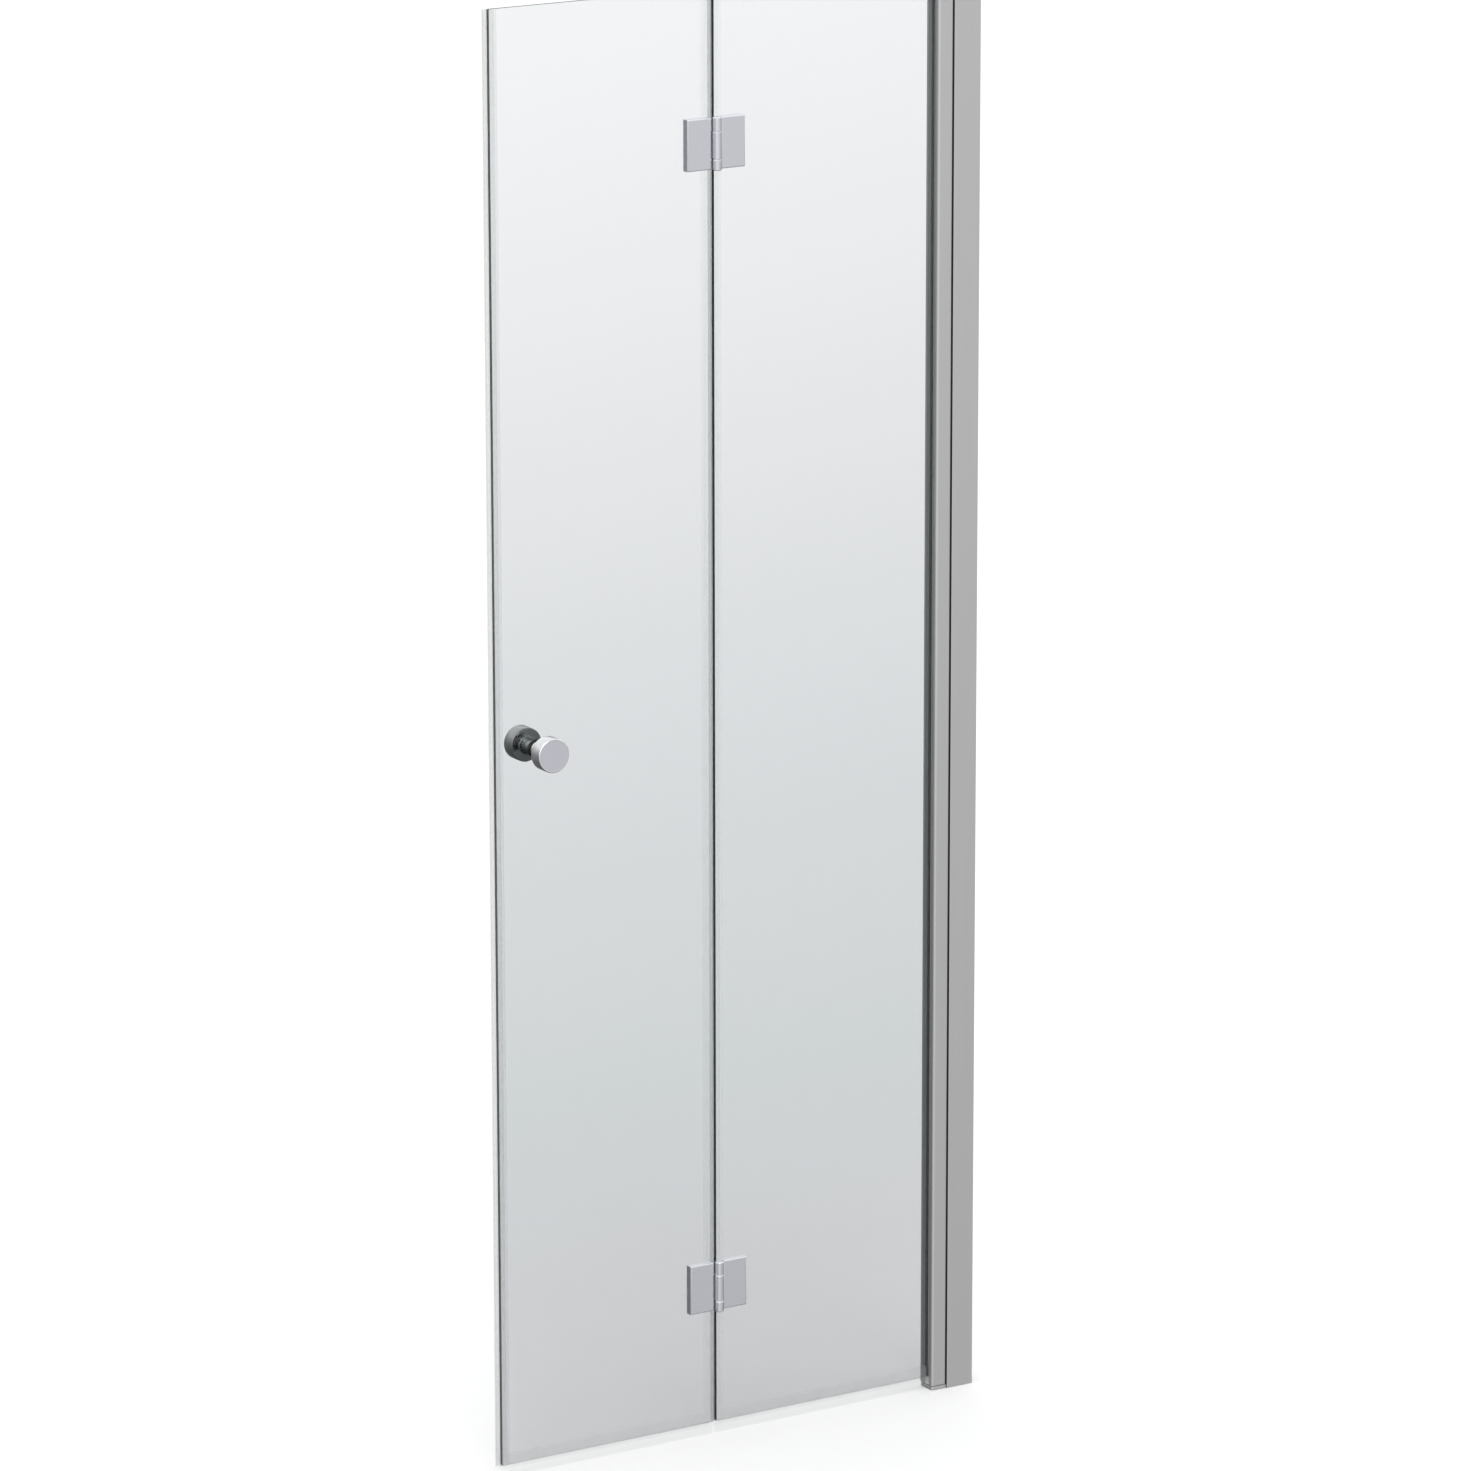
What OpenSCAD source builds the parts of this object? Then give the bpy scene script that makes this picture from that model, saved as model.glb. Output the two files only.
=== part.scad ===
// Bifold shower door: two frameless glass panels that fold on glass-to-glass hinges and turn on
// a pivot profile beside an adjustable wall profile. Millimetres, +Z up.
// Origin: on the wall, in the middle plane of the glass, at the tray. The door runs towards -X,
// the outside of the shower is -Y.

/* [Door] */
// Height of the frame above the tray
door_h = 1950; // [1800:10:2100]
// Width of the leading glass panel
outer_glass_w = 325; // [280:1:400]
// Width of the wall-side glass panel, with the edge held in the pivot profile
inner_glass_w = 350; // [300:1:420]
// Thickness of the glass
glass_t = 6; // [5:0.5:8]
// Height of the glass above the tray
glass_lift = 18; // [14:1:24]
// Gap between the two glass edges at the fold
fold_gap = 6; // [5:0.5:8]
// Chamfer along the polished glass edges
glass_ease = 0.6; // [0.3:0.1:1]

/* [Wall profile] */
// Width of the wall profile on its face
wall_w = 41; // [38:1:60]
// Thickness of its two side walls
wall_skin = 1.8; // [1.5:0.1:2.2]
// Thickness of its back, the wall that is screwed down
wall_web = 2.5; // [2:0.1:3.5]
// Rounding of its front lips
wall_lip_r = 1; // [0.5:0.1:1.5]
// How far its outer face stands in front of the pivot profile
wall_proud_front = 1.5; // [0.5:0.1:2.5]
// How far its inner face stands behind the pivot profile
wall_proud_back = 2; // [1:0.1:3]
// Radius of the wall screw holes
wall_hole_r = 2.75; // [2:0.05:3.5]
// Distance from each end of the profile to its outer wall screw holes
wall_hole_end = 150; // [80:5:250]
// Distance between its two inner wall screw holes
wall_hole_mid = 550; // [300:10:800]
// Height of the plastic top cap above the profile's contents
cap_t = 2; // [1.5:0.1:2.4]
// Depth of the top cap's plug
cap_plug_h = 12; // [8:1:20]

/* [Adjusting profile] */
// How far its face lies behind the lips of the wall profile
adjust_inset = 1.5; // [1:0.1:2.5]
// Depth of the adjusting profile
adjust_d = 27; // [24:1:34]
// Thickness of its walls
adjust_skin = 1.6; // [1.4:0.1:2]
// Sliding clearance in the wall profile
adjust_gap = 0.2; // [0.1:0.05:0.4]
// Radius of the screw channels in its ends
port_r = 1.9; // [1.6:0.1:2.1]
// Wall round each screw channel
port_wall = 1.6; // [1.3:0.1:2]
// Distance of the screw channels behind its face
port_in = 7; // [6.4:0.1:9]
// Radius of the three screws that lock the adjustment
side_screw_r = 2; // [1.5:0.1:2.5]
// Radius of their heads
side_head_r = 3.8; // [3.4:0.1:4.5]
// Thickness of their heads
side_head_t = 2.2; // [1.6:0.1:2.6]
// Length of their shanks under the head
side_shank = 7; // [5:0.5:8]
// Distance of these screws from the wall
side_screw_x = 24; // [20:1:26]
// Distance from each end of the profile to the first of these screws
side_screw_end = 120; // [80:5:200]

/* [Shadow gap] */
// Width of the gap between the wall profile and the pivot profile
shadow_gap = 1.7; // [1.2:0.1:2.5]
// Clearance between the rubber strip and the turning pivot profile
strip_clear = 0.3; // [0.2:0.05:0.5]
// Width of the rubber strip
strip_w = 5; // [4:0.5:6]
// Width of the strip's neck in its groove
strip_neck = 2; // [1.6:0.1:2.4]
// Width of the strip's foot in its groove
strip_foot = 4; // [3.4:0.1:4.6]

/* [Pivot profile] */
// Width of the pivot profile on its face
pivot_w = 22; // [20:0.5:28]
// How far its face stands in front of the glass
pivot_front = 8.5; // [7:0.5:12]
// Radius of its turning edge, about the pivot axis
turn_r = 7.5; // [7:0.1:9]
// Rounding of its leading front edge
pivot_edge_r = 3.5; // [2:0.5:4]
// Rounding of its other edges
pivot_small_r = 1; // [0.5:0.1:1.5]
// Thickness of its outer walls
pivot_skin = 1.8; // [1.5:0.1:2.2]
// Wall between the glass slot and the pivot bore
slot_wall = 1.45; // [1.2:0.05:2]
// Length of glass held in the slot
glass_grip = 11; // [8:0.5:13]
// Thickness of the glazing gasket round the glass
gasket_t = 1; // [0.8:0.1:1.5]
// Width of the black gasket lip behind the glass
gasket_lip_w = 8; // [5:0.5:9]
// Thickness of that lip
gasket_lip_t = 1.6; // [1.2:0.1:2]
// Play beside the setting block that carries the glass
block_play = 0.1; // [0.05:0.05:0.3]

/* [Pivots] */
// Thickness of the bearing plates above and below the pivot profile
plate_t = 5; // [4:0.5:7]
// Radius of the pivot pins
pin_r = 3; // [2.5:0.1:3.2]
// Length of each pin inside the pivot profile
pin_reach = 26; // [18:1:40]
// Running clearance between pin and bush
pin_clear = 0.05; // [0.02:0.01:0.09]
// Wall of the pivot bushes
bush_wall = 1; // [0.8:0.1:1.3]
// Thickness of the bush flange that carries the pivot profile
bush_flange_t = 0.9; // [0.6:0.1:1.4]
// Radius of the bush flange
bush_flange_r = 6.5; // [5.5:0.1:7.2]
// Gap between the bush flange and the bearing plate
end_play = 0.1; // [0.05:0.05:0.3]
// Radius of the countersunk screws in the bearing plates
plate_screw_r = 1.8; // [1.5:0.1:2]
// Radius of their heads
plate_head_r = 3.6; // [3:0.1:4]
// Length of these screws
plate_screw_l = 16; // [12:1:22]

/* [Fold hinges] */
// Height of the hinge leaves
leaf_h = 67; // [58:1:80]
// Width of each hinge leaf
leaf_w = 36; // [32:0.5:42]
// Thickness of each hinge leaf
leaf_t = 10; // [8:0.5:12]
// Distance from the fold axis to each leaf
leaf_in = 7.6; // [7.6:0.1:9]
// Rounding along the face of the leaves
leaf_edge_r = 1.6; // [1:0.1:2]
// How far the fold axis lies in front of the leaf faces
axis_proud = 1.7; // [1:0.1:2.4]
// Radius of the knuckles
knuckle_r = 5.9; // [5:0.1:6.3]
// Height of the upper knuckle
knuckle_top = 18; // [14:0.5:22]
// Height of the middle knuckle
knuckle_mid = 36; // [30:0.5:42]
// Height of the lower knuckle
knuckle_low = 14.4; // [11:0.2:18]
// Gap between neighbouring knuckles
knuckle_gap = 0.3; // [0.2:0.05:0.5]
// Thickness of the webs that join the knuckles to the leaves
knuckle_web = 3; // [2.4:0.1:3.6]
// How far these webs stand out behind the knuckles
web_set = 2; // [1:0.5:2]
// Radius of the hinge pins
hinge_pin_r = 2.5; // [2:0.1:2.8]
// Thickness of the pads between the glass and the metal
pad_t = 1; // [0.8:0.1:1.5]
// Margin of the clamping plates inside the outline of the leaves
back_inset = 8; // [5:0.5:8]
// Thickness of the clamping plates behind the glass
back_t = 5; // [4:0.5:6]
// Radius of the hinge screws
hinge_screw_r = 2.5; // [2:0.1:3]
// Radius of their countersunk heads
hinge_head_r = 4.8; // [4.2:0.1:5.2]
// Distance between the two screws of a leaf
hinge_screw_pitch = 32; // [24:1:36]
// Depth of the screws in the leaves
hinge_screw_in = 7; // [4:0.5:7.5]
// Wall of the sleeves that line the holes in the glass
sleeve_wall = 1.8; // [1.2:0.1:2.4]
// Distance from the top of the glass to the upper hinge's centre
hinge_from_top = 198; // [120:1:400]
// Distance from the bottom of the glass to the lower hinge's centre
hinge_from_low = 193.5; // [120:0.5:400]

/* [Seals] */
// Wall of the clip-on seals
seal_t = 1; // [0.8:0.1:1.3]
// Width of the side seal legs on the glass
side_leg = 10.4; // [8:0.1:13]
// Reach of the leading seal beyond the glass
lead_reach = 8.6; // [7:0.1:10]
// Height of the bottom seal legs on the glass
bottom_leg = 13.5; // [10:0.5:18]
// Clearance of the bottom lips above the tray
lip_clear = 0.6; // [0.3:0.1:2]
// Thickness of the bottom lips
lip_t = 0.9; // [0.8:0.1:1.2]
// Reach of the drip lip behind the glass
drip_reach = 7; // [4:0.5:9]
// Drop of the drip lip
drip_drop = 9; // [6:0.5:11]
// Clearance of the seals round the hinges
hinge_clear = 1; // [0.5:0.1:3]
// Clearance between one seal and its neighbour
seal_clear = 0.3; // [0.2:0.05:0.5]

/* [Knob] */
// Radius of the knob heads
knob_r = 22.5; // [18:0.5:28]
// Length of the knob heads
knob_head = 20.5; // [14:0.5:26]
// How far each knob stands off the glass
knob_reach = 42; // [36:1:55]
// Radius of the knob necks
neck_r = 11; // [9:0.5:13]
// Rounding of the knob heads
knob_edge_r = 1.2; // [0.6:0.1:2]
// Distance from the leading glass edge to the knob
knob_in = 62; // [45:1:90]
// Radius of the threaded stud through the glass
stud_r = 4; // [3:0.1:5]
// Depth of the stud in each knob
stud_in = 18; // [12:1:24]
// Thickness of the washers between knob and glass
washer_t = 1; // [0.6:0.1:1.6]
// Wall of the sleeve round the stud in the glass
knob_sleeve = 1.9; // [1.2:0.1:2.5]
// Radius of the grub screws in the necks
grub_r = 2; // [1.5:0.1:2.5]

/* [Hidden] */

$fn = 48;
eps = 0.01;
metal = [0.69, 0.69, 0.70];
chrome = [0.78, 0.78, 0.81];
steel = [0.62, 0.63, 0.65];
rubber = [0.08, 0.08, 0.08];
nylon = [0.86, 0.86, 0.84];
clear_pvc = [0.88, 0.90, 0.89, 0.6];
glass_tint = [0.83, 0.87, 0.86, 0.4];

// Depth of the profiles, measured from the glass's middle plane
half_glass = glass_t / 2;
slot_half = half_glass + gasket_t;
bore_r = pin_r + pin_clear + bush_wall;
axis_y = slot_half + slot_wall + bore_r;
pivot_face = -half_glass - pivot_front;
pivot_back = axis_y + turn_r;
wall_face = pivot_face - wall_proud_front;
wall_back = pivot_back + wall_proud_back;

// Places along the door, from the wall at X = 0
wall_lip = -wall_w;
pivot_right = wall_lip - shadow_gap;
pivot_left = pivot_right - pivot_w;
axis_x = pivot_right - turn_r;
adjust_face = wall_lip + adjust_inset;
adjust_front = wall_face + wall_skin + adjust_gap;
adjust_back = wall_back - wall_skin - adjust_gap;
inner_right = pivot_left + glass_grip;
inner_left = inner_right - inner_glass_w;
fold_x = inner_left - fold_gap / 2;
outer_right = fold_x - fold_gap / 2;
outer_left = outer_right - outer_glass_w;
knob_x = outer_left + knob_in;

// Heights
glass_top = door_h - plate_t;
plate_top_z = door_h - plate_t;
pivot_low_z = plate_t + end_play + bush_flange_t;
pivot_top_z = door_h - pivot_low_z;
wall_mid_z = door_h / 2;
knob_z = (glass_lift + glass_top) / 2;
upper_hinge_z = glass_top - hinge_from_top;
lower_hinge_z = glass_lift + hinge_from_low;
clip_top_z = glass_lift + bottom_leg;

// Hinge depths
leaf_back = -half_glass - pad_t;
leaf_face = leaf_back - leaf_t;
fold_y = leaf_face - axis_proud;
plate_front = half_glass + pad_t;
plate_back = plate_front + back_t;
leaf_mid = leaf_in + leaf_w / 2;
web_y = fold_y + knuckle_r - knuckle_web + web_set;
knuckle_h = knuckle_top + knuckle_mid + knuckle_low + 2 * knuckle_gap;
sleeve_in_r = hinge_screw_r + 0.2;
hinge_hole_r = sleeve_in_r + sleeve_wall + 0.1;
knob_hole_r = stud_r + 0.2 + knob_sleeve + 0.1;
port_ys = [adjust_front + port_in, adjust_back - port_in];
port_x = adjust_face + port_in;

// Rectangle with its own radius at each corner: front left, front right, back left, back right
module rounded(x0, x1, y0, y1, radii) {
    corners = [[x0, y0, 1, 1], [x1, y0, -1, 1], [x0, y1, 1, -1], [x1, y1, -1, -1]];
    difference() {
        translate([x0, y0]) square([x1 - x0, y1 - y0]);
        for (i = [0:3])
            if (radii[i] > 0)
                translate([corners[i][0], corners[i][1]])
                    mirror([corners[i][2] < 0 ? 1 : 0, 0])
                        mirror([0, corners[i][3] < 0 ? 1 : 0])
                            difference() {
                                translate([-1, -1]) square(radii[i] + 1);
                                translate([radii[i], radii[i]]) circle(radii[i]);
                            }
    }
}

module block(x0, x1, y0, y1, z0, z1) {
    translate([x0, y0, z0]) cube([x1 - x0, y1 - y0, z1 - z0]);
}

module tall(z0, z1) {
    translate([0, 0, z0]) linear_extrude(z1 - z0) children();
}

// ---- Wall profile and what it holds

module wall_holes() {
    for (z = [wall_hole_end, wall_mid_z - wall_hole_mid / 2, wall_mid_z + wall_hole_mid / 2,
              door_h - wall_hole_end])
        translate([-wall_web - 1, 0, z]) rotate([0, 90, 0]) cylinder(wall_web + 2, r = wall_hole_r);
}

function side_screw_zs() = [side_screw_end, wall_mid_z, door_h - side_screw_end];

module side_screw_holes(r) {
    for (z = side_screw_zs())
        translate([-side_screw_x, wall_back + 1, z]) rotate([90, 0, 0]) cylinder(side_shank + 2, r = r);
}

module wall_profile() {
    color(metal) difference() {
        tall(0, door_h - cap_t) difference() {
            rounded(wall_lip, 0, wall_face, wall_back, [wall_lip_r, 0, wall_lip_r, 0]);
            translate([wall_lip - 1, wall_face + wall_skin])
                square([wall_w + 1 - wall_web, wall_back - wall_face - 2 * wall_skin]);
        }
        wall_holes();
        side_screw_holes(side_screw_r + 0.1);
    }
}

// Cap over the top of the wall profile, with a plug inside it behind the adjusting profile
module wall_top_cap() {
    plug_x0 = adjust_face + adjust_d + adjust_gap;
    color(metal) union() {
        tall(door_h - cap_t, door_h)
            rounded(wall_lip, 0, wall_face, wall_back, [wall_lip_r, 0, wall_lip_r, 0]);
        block(plug_x0, -wall_web - adjust_gap, adjust_front, adjust_back,
              door_h - cap_t - cap_plug_h, door_h - cap_t);
    }
}

module strip_section(grow) {
    y = adjust_front + strip_w / 2 + 0.4;
    translate([adjust_face - grow, y - strip_neck / 2 - grow])
        square([2 + grow, strip_neck + 2 * grow]);
    translate([adjust_face + 1.6 - grow, y - strip_foot / 2 - grow])
        square([1.4 + 2 * grow, strip_foot + 2 * grow]);
}

module adjusting_profile() {
    inner_x = adjust_face + adjust_skin;
    color(metal) difference() {
        tall(plate_t, plate_top_z) difference() {
            union() {
                difference() {
                    translate([adjust_face, adjust_front])
                        square([adjust_d, adjust_back - adjust_front]);
                    translate([inner_x, adjust_front + adjust_skin])
                        square([adjust_d, adjust_back - adjust_front - 2 * adjust_skin]);
                }
                // Boss that holds the rubber strip's groove
                translate([adjust_face, adjust_front]) square([4.6, strip_w + 2.4]);
                for (y = port_ys)
                    translate([port_x, y]) circle(port_r + port_wall);
                for (y = port_ys)
                    translate([inner_x - eps, y - port_wall])
                        square([port_x - port_r - inner_x, 2 * port_wall]);
            }
            strip_section(0.1);
            for (y = port_ys) translate([port_x, y]) circle(port_r);
        }
        side_screw_holes(side_screw_r);
    }
}

module adjusting_screws() {
    color(steel)
        for (z = side_screw_zs())
            translate([-side_screw_x, wall_back, z]) rotate([90, 0, 0]) difference() {
                union() {
                    translate([0, 0, -side_head_t]) intersection() {
                        cylinder(side_head_t, r = side_head_r);
                        translate([0, 0, side_head_r * 1.2]) sphere(r = side_head_r * 1.35);
                    }
                    cylinder(side_shank, r = side_screw_r - 0.05);
                }
                for (a = [0, 90])
                    rotate([0, 0, a]) translate([-2, -0.4, -side_head_t - 1]) cube([4, 0.8, 2.2]);
            }
}

// Black rubber strip that closes the shadow gap
module gap_strip() {
    y0 = adjust_front + 0.4;
    color(rubber) tall(plate_t, plate_top_z) union() {
        strip_section(0);
        rounded(pivot_right + strip_clear, adjust_face, y0, y0 + strip_w, [1, 0, 1, 0]);
    }
}

// Outline of a bearing plate: under the pivot profile, clear of the turning panel, and on into
// the wall profile
module plate_outline() {
    sweep_r = axis_x - pivot_left + 0.4;
    union() {
        intersection() {
            rounded(pivot_left, pivot_right + 1, pivot_face, pivot_back,
                    [pivot_edge_r, 0, pivot_small_r, 0]);
            union() {
                translate([axis_x, axis_y]) circle(sweep_r);
                translate([pivot_left, pivot_face]) square([pivot_w + 1, axis_y - pivot_face - 3]);
            }
        }
        translate([pivot_right - 1, adjust_front])
            square([adjust_face + adjust_d - pivot_right + 1, adjust_back - adjust_front]);
    }
}

// Bearing plate; its part inside the wall profile starts at z = arm_cut
module bearing_plate(arm_cut) {
    head_h = plate_head_r - plate_screw_r;
    color(metal) difference() {
        tall(0, plate_t) plate_outline();
        translate([axis_x, axis_y, -1]) cylinder(plate_t + 2, r = pin_r);
        translate([axis_x, axis_y, -1]) cylinder(2.5, r = pin_r + 1.5);
        for (y = port_ys) translate([port_x, y, arm_cut]) {
            translate([0, 0, -1]) cylinder(plate_t + 2, r = plate_screw_r + 0.2);
            translate([0, 0, -eps]) cylinder(head_h + 0.2, r1 = plate_head_r + 0.2, r2 = plate_screw_r);
        }
        if (arm_cut > 0) block(wall_lip - 0.1, 0, wall_face, wall_back, -1, arm_cut);
    }
}

module lower_bearing_plate() {
    bearing_plate(0);
}

// The top cap lies over the part of this plate inside the wall profile
module upper_bearing_plate() {
    translate([0, 0, door_h]) mirror([0, 0, 1]) bearing_plate(cap_t);
}

// Countersunk screw standing on its head, up from z = 0
module plate_screw() {
    head_h = plate_head_r - plate_screw_r;
    difference() {
        rotate_extrude() polygon([[0, 0], [plate_head_r, 0], [plate_screw_r, head_h],
                                  [plate_screw_r, plate_screw_l], [0, plate_screw_l]]);
        translate([0, 0, -eps]) cylinder(1.3, r = 1.3, $fn = 6);
    }
}

module lower_plate_screws() {
    color(steel) for (y = port_ys) translate([port_x, y, 0]) plate_screw();
}

module upper_plate_screws() {
    color(steel) for (y = port_ys)
        translate([port_x, y, door_h - cap_t]) mirror([0, 0, 1]) plate_screw();
}

// Pin with a flush head in the bearing plate
module pivot_pin() {
    top = plate_t + pin_reach;
    color(steel) translate([axis_x, axis_y, 0]) rotate_extrude()
        polygon([[0, 0.2], [pin_r + 1.4, 0.2], [pin_r + 1.4, 1.5], [pin_r, 1.5], [pin_r, top - 1],
                 [pin_r - 1, top], [0, top]]);
}

module lower_pivot_pin() {
    pivot_pin();
}

module upper_pivot_pin() {
    translate([0, 0, door_h]) mirror([0, 0, 1]) pivot_pin();
}

// ---- Pivot profile and the wall-side panel

module pivot_profile() {
    right_of_slot = inner_right + gasket_t + pivot_skin;
    color(metal) tall(pivot_low_z, pivot_top_z) difference() {
        rounded(pivot_left, pivot_right, pivot_face, pivot_back,
                [pivot_edge_r, pivot_small_r, pivot_small_r, turn_r]);
        // Slot for the glass and its gasket
        translate([pivot_left - 1, -slot_half])
            square([inner_right + gasket_t - pivot_left + 1, 2 * slot_half]);
        // Bore for the pivot bushes
        translate([axis_x, axis_y]) circle(bore_r);
        // Hollow chambers in front of the slot, beside it and behind it
        rounded(pivot_left + 2 * pivot_skin, pivot_right - pivot_skin, pivot_face + pivot_skin,
                -slot_half - pivot_skin, [1, 1, 1, 1]);
        rounded(pivot_left + pivot_skin, axis_x - bore_r - pivot_skin, slot_half + pivot_skin,
                pivot_back - pivot_skin, [1, 1, 1, 1]);
        rounded(right_of_slot, pivot_right - pivot_skin, -slot_half, slot_half - pivot_skin + 1,
                [0.5, 0.5, 0.5, 0.5]);
    }
}

module pivot_bush() {
    top = pivot_low_z + pin_reach - 1;
    color(nylon) translate([axis_x, axis_y, 0]) rotate_extrude()
        polygon([[pin_r + pin_clear, plate_t + end_play], [bush_flange_r, plate_t + end_play],
                 [bush_flange_r, pivot_low_z], [bore_r, pivot_low_z], [bore_r, top],
                 [pin_r + pin_clear, top]]);
}

module lower_pivot_bush() {
    pivot_bush();
}

module upper_pivot_bush() {
    translate([0, 0, door_h]) mirror([0, 0, 1]) pivot_bush();
}

// Block in the foot of the slot that carries the glass
module setting_block() {
    color(metal) block(pivot_left, inner_right + gasket_t, block_play - slot_half, slot_half - block_play,
        pivot_low_z, glass_lift);
}

// Black gasket round the edge of the glass, with a lip behind the glass
module glazing_gasket() {
    color(rubber) union() {
        tall(glass_lift, pivot_top_z) difference() {
            translate([pivot_left, -slot_half])
                square([glass_grip + gasket_t, 2 * slot_half]);
            translate([pivot_left - 1, -half_glass]) square([glass_grip + 1, glass_t]);
        }
        tall(clip_top_z + seal_clear, pivot_top_z) union() {
            rounded(pivot_left - gasket_lip_t, pivot_left, half_glass, half_glass + gasket_lip_w,
                    [0, 0, 1, 0]);
            rounded(pivot_left - gasket_t, pivot_left, -slot_half, -half_glass, [0.5, 0, 0, 0]);
        }
    }
}

// Upright sheet between x0 and x1 with chamfered edges
module glass_sheet(x0, x1) {
    c = glass_ease;
    h = half_glass;
    intersection() {
        tall(glass_lift, glass_top)
            polygon([[x0 + c, -h], [x1 - c, -h], [x1, -h + c], [x1, h - c], [x1 - c, h], [x0 + c, h],
                     [x0, h - c], [x0, -h + c]]);
        translate([x0, 0, 0]) rotate([90, 0, 90]) linear_extrude(x1 - x0)
            polygon([[-h, glass_lift + c], [-h + c, glass_lift], [h - c, glass_lift],
                     [h, glass_lift + c], [h, glass_top - c], [h - c, glass_top],
                     [-h + c, glass_top], [-h, glass_top - c]]);
    }
}

function hinge_zs() = [upper_hinge_z, lower_hinge_z];

// Holes for the hinge screws; side is 1 for the wall-side panel and -1 for the leading panel
module hinge_holes(side, zs, y0, y1, r) {
    for (z = zs, s = [-1, 1])
        translate([fold_x + side * leaf_mid, y0, z + s * hinge_screw_pitch / 2])
            rotate([-90, 0, 0]) cylinder(y1 - y0, r = r);
}

module inner_glass() {
    color(glass_tint) difference() {
        glass_sheet(inner_left, inner_right);
        hinge_holes(1, hinge_zs(), -half_glass - 1, half_glass + 1, hinge_hole_r);
        // Corner beside the upper bearing plate
        block(pivot_left - seal_clear, inner_right + 1, -half_glass - 1, half_glass + 1, pivot_top_z,
              glass_top + 1);
    }
}

module outer_glass() {
    color(glass_tint) difference() {
        glass_sheet(outer_left, outer_right);
        hinge_holes(-1, hinge_zs(), -half_glass - 1, half_glass + 1, hinge_hole_r);
        translate([knob_x, -half_glass - 1, knob_z]) rotate([-90, 0, 0])
            cylinder(glass_t + 2, r = knob_hole_r);
    }
}

// ---- Clip-on seals

// Section of a clip on a glass edge at x = edge, with the glass towards side
module clip_section(edge, side) {
    difference() {
        translate([side > 0 ? edge - seal_t : edge - side_leg, -half_glass - seal_t])
            square([side_leg + seal_t, glass_t + 2 * seal_t]);
        translate([side > 0 ? edge : edge - side_leg - 1, -half_glass])
            square([side_leg + 1, glass_t]);
    }
}

module hinge_gaps(side) {
    x0 = side > 0 ? fold_x + leaf_in - hinge_clear : fold_x - leaf_in - leaf_w;
    for (z = hinge_zs())
        block(x0, x0 + leaf_w + hinge_clear, -half_glass - 3 * seal_t, half_glass + 3 * seal_t,
              z - leaf_h / 2 - hinge_clear, z + leaf_h / 2 + hinge_clear);
}

module inner_fold_seal() {
    color(clear_pvc) difference() {
        tall(glass_lift, glass_top) clip_section(inner_left, 1);
        hinge_gaps(1);
    }
}

module outer_fold_seal() {
    bulb_r = (fold_gap - 2 * seal_t - seal_clear) / 2;
    bulb_x = outer_right + seal_t + bulb_r;
    color(clear_pvc) difference() {
        tall(glass_lift, glass_top) difference() {
            union() {
                clip_section(outer_right, -1);
                translate([bulb_x, 0]) circle(bulb_r);
                translate([outer_right + seal_t - eps, -bulb_r]) square([bulb_r, 2 * bulb_r]);
            }
            translate([bulb_x, 0]) circle(bulb_r * 0.55);
        }
        hinge_gaps(-1);
    }
}

module leading_seal() {
    bulb_r = (lead_reach - seal_t) / 2;
    bulb_x = outer_left - seal_t - bulb_r;
    color(clear_pvc) tall(glass_lift, glass_top) difference() {
        union() {
            clip_section(outer_left, 1);
            translate([bulb_x, 0]) circle(bulb_r);
            translate([bulb_x, -bulb_r / 2]) square([bulb_r + eps, bulb_r]);
        }
        translate([bulb_x, 0]) circle(bulb_r - seal_t * 0.8);
    }
}

// Bottom seal: a clip between clip_x0 and clip_x1, and lips along the whole panel
module bottom_seal(x0, x1, clip_x0, clip_x1) {
    low = glass_lift - seal_t;
    h = half_glass;
    color(clear_pvc) union() {
        translate([clip_x0, 0, 0]) rotate([90, 0, 90]) linear_extrude(clip_x1 - clip_x0)
            difference() {
                translate([-h - seal_t, low]) square([glass_t + 2 * seal_t, bottom_leg + seal_t]);
                translate([-h, glass_lift]) square([glass_t, bottom_leg + 1]);
            }
        translate([x0, 0, 0]) rotate([90, 0, 90]) linear_extrude(x1 - x0) union() {
            translate([-h, low]) square([glass_t, seal_t]);
            polygon([[-lip_t / 2, low + eps], [lip_t / 2, low + eps], [lip_t / 2.5, lip_clear],
                     [-lip_t / 2.5, lip_clear]]);
            polygon([[h - lip_t, low + eps], [h, low + eps], [h + drip_reach, low - drip_drop],
                     [h + drip_reach - lip_t, low - drip_drop]]);
        }
    }
}

module inner_bottom_seal() {
    bottom_seal(inner_left, pivot_left - seal_clear, inner_left + side_leg + seal_clear,
                pivot_left - seal_clear);
}

module outer_bottom_seal() {
    bottom_seal(outer_left, outer_right, outer_left + side_leg + seal_clear,
                outer_right - side_leg - seal_clear);
}

// ---- Fold hinges; a leaf is drawn for the wall-side panel and mirrored for the leading panel

module to_panel(side, z) {
    translate([fold_x, 0, z]) mirror([side < 0 ? 1 : 0, 0, 0]) children();
}

// Plate with a rounded face edge, x from the fold axis, z from the hinge's centre
module leaf_plate() {
    intersection() {
        tall(-leaf_h / 2, leaf_h / 2)
            rounded(leaf_in, leaf_in + leaf_w, leaf_face, leaf_back, [leaf_edge_r, leaf_edge_r, 0, 0]);
        translate([leaf_in, 0, 0]) rotate([90, 0, 90]) linear_extrude(leaf_w)
            rounded(leaf_face, leaf_back, -leaf_h / 2, leaf_h / 2, [leaf_edge_r, 0, leaf_edge_r, 0]);
    }
}

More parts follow.
